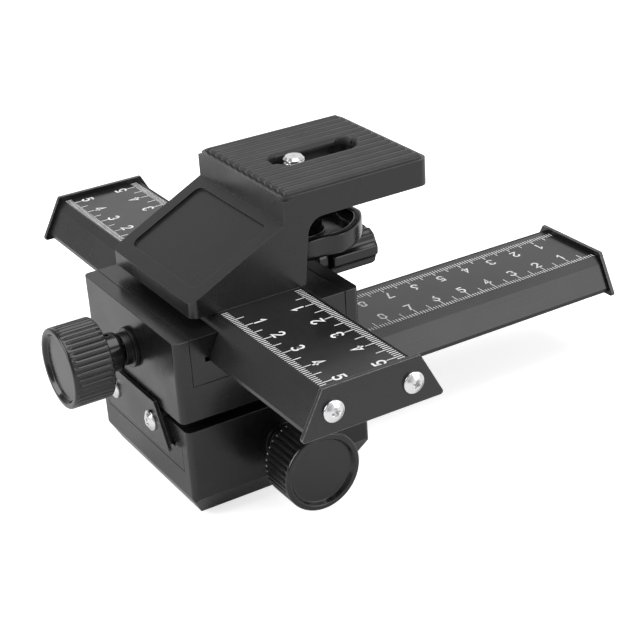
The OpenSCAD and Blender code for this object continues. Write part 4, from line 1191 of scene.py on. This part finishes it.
def print_ruler(way, shapes, node):
    """The shapes as closed slabs of ink that stand on the strip."""
    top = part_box(node)[1].z
    starts = np.cumsum([0] + [len(points) for points, _ in shapes[:-1]])
    flat = in_way(np.concatenate([points for points, _ in shapes]), top + INK_HEIGHT, way)
    faces = np.concatenate([faces + start for (_, faces), start in zip(shapes, starts)])
    points, closed = close_sheet(flat, faces, top - INK_DEPTH)
    return add_piece(way + "_ruler_ink", points, closed, ink_white, way + "_carriage", (), 30)


upper_shapes = [shape for side in (1, -1)
                for shape in ruler_shapes(side * UPPER_ZERO, side, UPPER_COUNT, 0, UPPER_ROWS)]
print_ruler("upper", upper_shapes, "upper_scales")
strip_gap = max(0.0, LOWER_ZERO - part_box("lower_scale")[1].y + LINE_WIDTH)
print_ruler("lower", ruler_shapes(LOWER_ZERO, -1, LOWER_COUNT, strip_gap, LOWER_ROWS), "lower_scale")

# %% [markdown]
# ## Floor, world and lamps
#
# The photograph is a product shot on pure white. To the camera the floor is lifted to white by a glow that
# no other ray sees at that strength: mirror reflections see a weak part of it, and the soft light sees none.
# The glow is added to a plain pale floor, so the object's shadow stays.

# %% Floor
FLOOR_SIZE = 1.6
FLOOR_RINGS = 12
FLOOR_TURNS = 96
FLOOR_LIFT = 0.72
MIRRORED_LIFT = 0.12


def clear_rays(owner):
    """Two outputs: 1 for a ray from the camera, and 1 for such a ray, a mirror reflection or a ray through
    glass. Both are 0 for any other ray."""
    rays = add_node(owner, "LightPath", {})
    seen = rays.outputs["Is Camera Ray"]
    for kind in ("Is Glossy Ray", "Is Transmission Ray"):
        seen = calculated(owner, "MAXIMUM", seen, rays.outputs[kind])
    return rays.outputs["Is Camera Ray"], seen


def floor_white():
    """Pale paint plus a glow. Strength: the lift for the camera, a weaker one for clear rays, else 0."""
    material, shader, _ = start_material("floor_white", (0.8, 0.8, 0.8), 0.9)
    shader.inputs["Specular IOR Level"].default_value = 0.0
    from_camera, clear = clear_rays(material)
    mirrored = calculated(material, "MULTIPLY", clear, MIRRORED_LIFT)
    strength = ranged(material, from_camera, mirrored, FLOOR_LIFT, 0.0, 1.0)
    glow = add_node(material, "Emission", {"Color": (1, 1, 1), "Strength": strength})
    both = add_node(material, "AddShader", {0: shader.outputs[0], 1: glow.outputs[0]})
    feed(material, material.node_tree.nodes["Material Output"].inputs["Surface"], both.outputs[0])
    return material


def add_floor(height):
    """A large disc under the foot, flat and pale, which keeps the object's shadow: a turned form whose
    profile is a straight line from the rim to the middle."""
    ring = np.linspace(FLOOR_SIZE, 0, FLOOR_RINGS)
    points, faces = turned(np.column_stack([ring, np.zeros(FLOOR_RINGS)]), FLOOR_TURNS)
    mesh = bpy.data.meshes.new("studio_floor")
    mesh.from_pydata((points.reshape(-1, 3) + [0, 0, height]).tolist(), [], faces.tolist())
    mesh.materials.append(floor_white())
    floor = bpy.data.objects.new("studio_floor", mesh)
    bpy.context.scene.collection.objects.link(floor)
    print(f"floor: a disc of {FLOOR_SIZE} m at {height / MM:.2f} mm")
    return floor


add_floor(foot_points[:, 2].min())

# %% [markdown]
# The studio behind the photographer is dim and its ceiling is grey, and the black paint shows both as
# darker reflections. So the world's brightness for mirror reflections follows the direction: white round the
# horizon, falling towards the ceiling and a little towards the photographer's side. For the camera it is
# plain white, and for soft light it is a plain level.

# %% World
AMBIENT = 0.3
CEILING = 0.62
CEILING_START = 0.25
CEILING_FULL = 0.75
BEHIND = 0.4
BEHIND_FULL = -0.65
BEHIND_START = 0.4


def studio_world():
    """Strength: 1 for the camera, AMBIENT for soft light, and for clear rays the product of two smooth steps
    of the direction, one of its height and one of its Y."""
    world = bpy.data.worlds.new("white_studio")
    world.use_nodes = True
    direction = add_node(world, "TexCoord", {}).outputs["Generated"]
    parts = add_node(world, "SeparateXYZ", {"Vector": direction})
    overhead = ranged(world, parts.outputs["Z"], 1.0, CEILING, CEILING_START, CEILING_FULL, "SMOOTHSTEP")
    behind = ranged(world, parts.outputs["Y"], BEHIND, 1.0, BEHIND_FULL, BEHIND_START, "SMOOTHSTEP")
    from_camera, clear = clear_rays(world)
    mirrored = calculated(world, "MULTIPLY", overhead, behind)
    others = ranged(world, clear, AMBIENT, mirrored, 0.0, 1.0)
    backdrop = world.node_tree.nodes["Background"]
    feed(world, backdrop.inputs["Color"], (1, 1, 1))
    feed(world, backdrop.inputs["Strength"], ranged(world, from_camera, others, 1.0, 0.0, 1.0))
    print(f"world: {len(world.node_tree.nodes)} nodes, soft light {AMBIENT}")
    return world


bpy.context.scene.world = studio_world()

# %% [markdown]
# Large soft lamps stand round the object. The strongest is on its left, because the left faces of the
# housings are the brightest there. Each is a square that faces the origin.

# %% Lamps
def soft_lamp(name, place, size, power):
    """A square lamp that faces the origin. Its backward axis points from the origin to its place."""
    data = bpy.data.lights.new(name, "AREA")
    data.shape = "SQUARE"
    data.size = size
    data.energy = power
    lamp = bpy.data.objects.new(name, data)
    bpy.context.scene.collection.objects.link(lamp)
    back = np.asarray(place, float) / np.linalg.norm(place)
    side = np.cross([0, 0, 1], back)
    side /= np.linalg.norm(side)
    matrix = np.eye(4)
    matrix[:3, :3] = np.column_stack([side, np.cross(back, side), back])
    matrix[:3, 3] = place
    lamp.matrix_world = Matrix(matrix.tolist())
    print(f"{name}: {power} W from {place}")
    return lamp


soft_lamp("left_softbox", (-0.25, -1.1, 0.7), 0.9, 14.0)
soft_lamp("top_softbox", (0.1, 0.2, 1.3), 1.0, 10.0)
soft_lamp("right_fill", (0.9, 0.7, 0.5), 0.8, 4.0)
bpy.context.scene.view_settings.view_transform = "Standard"
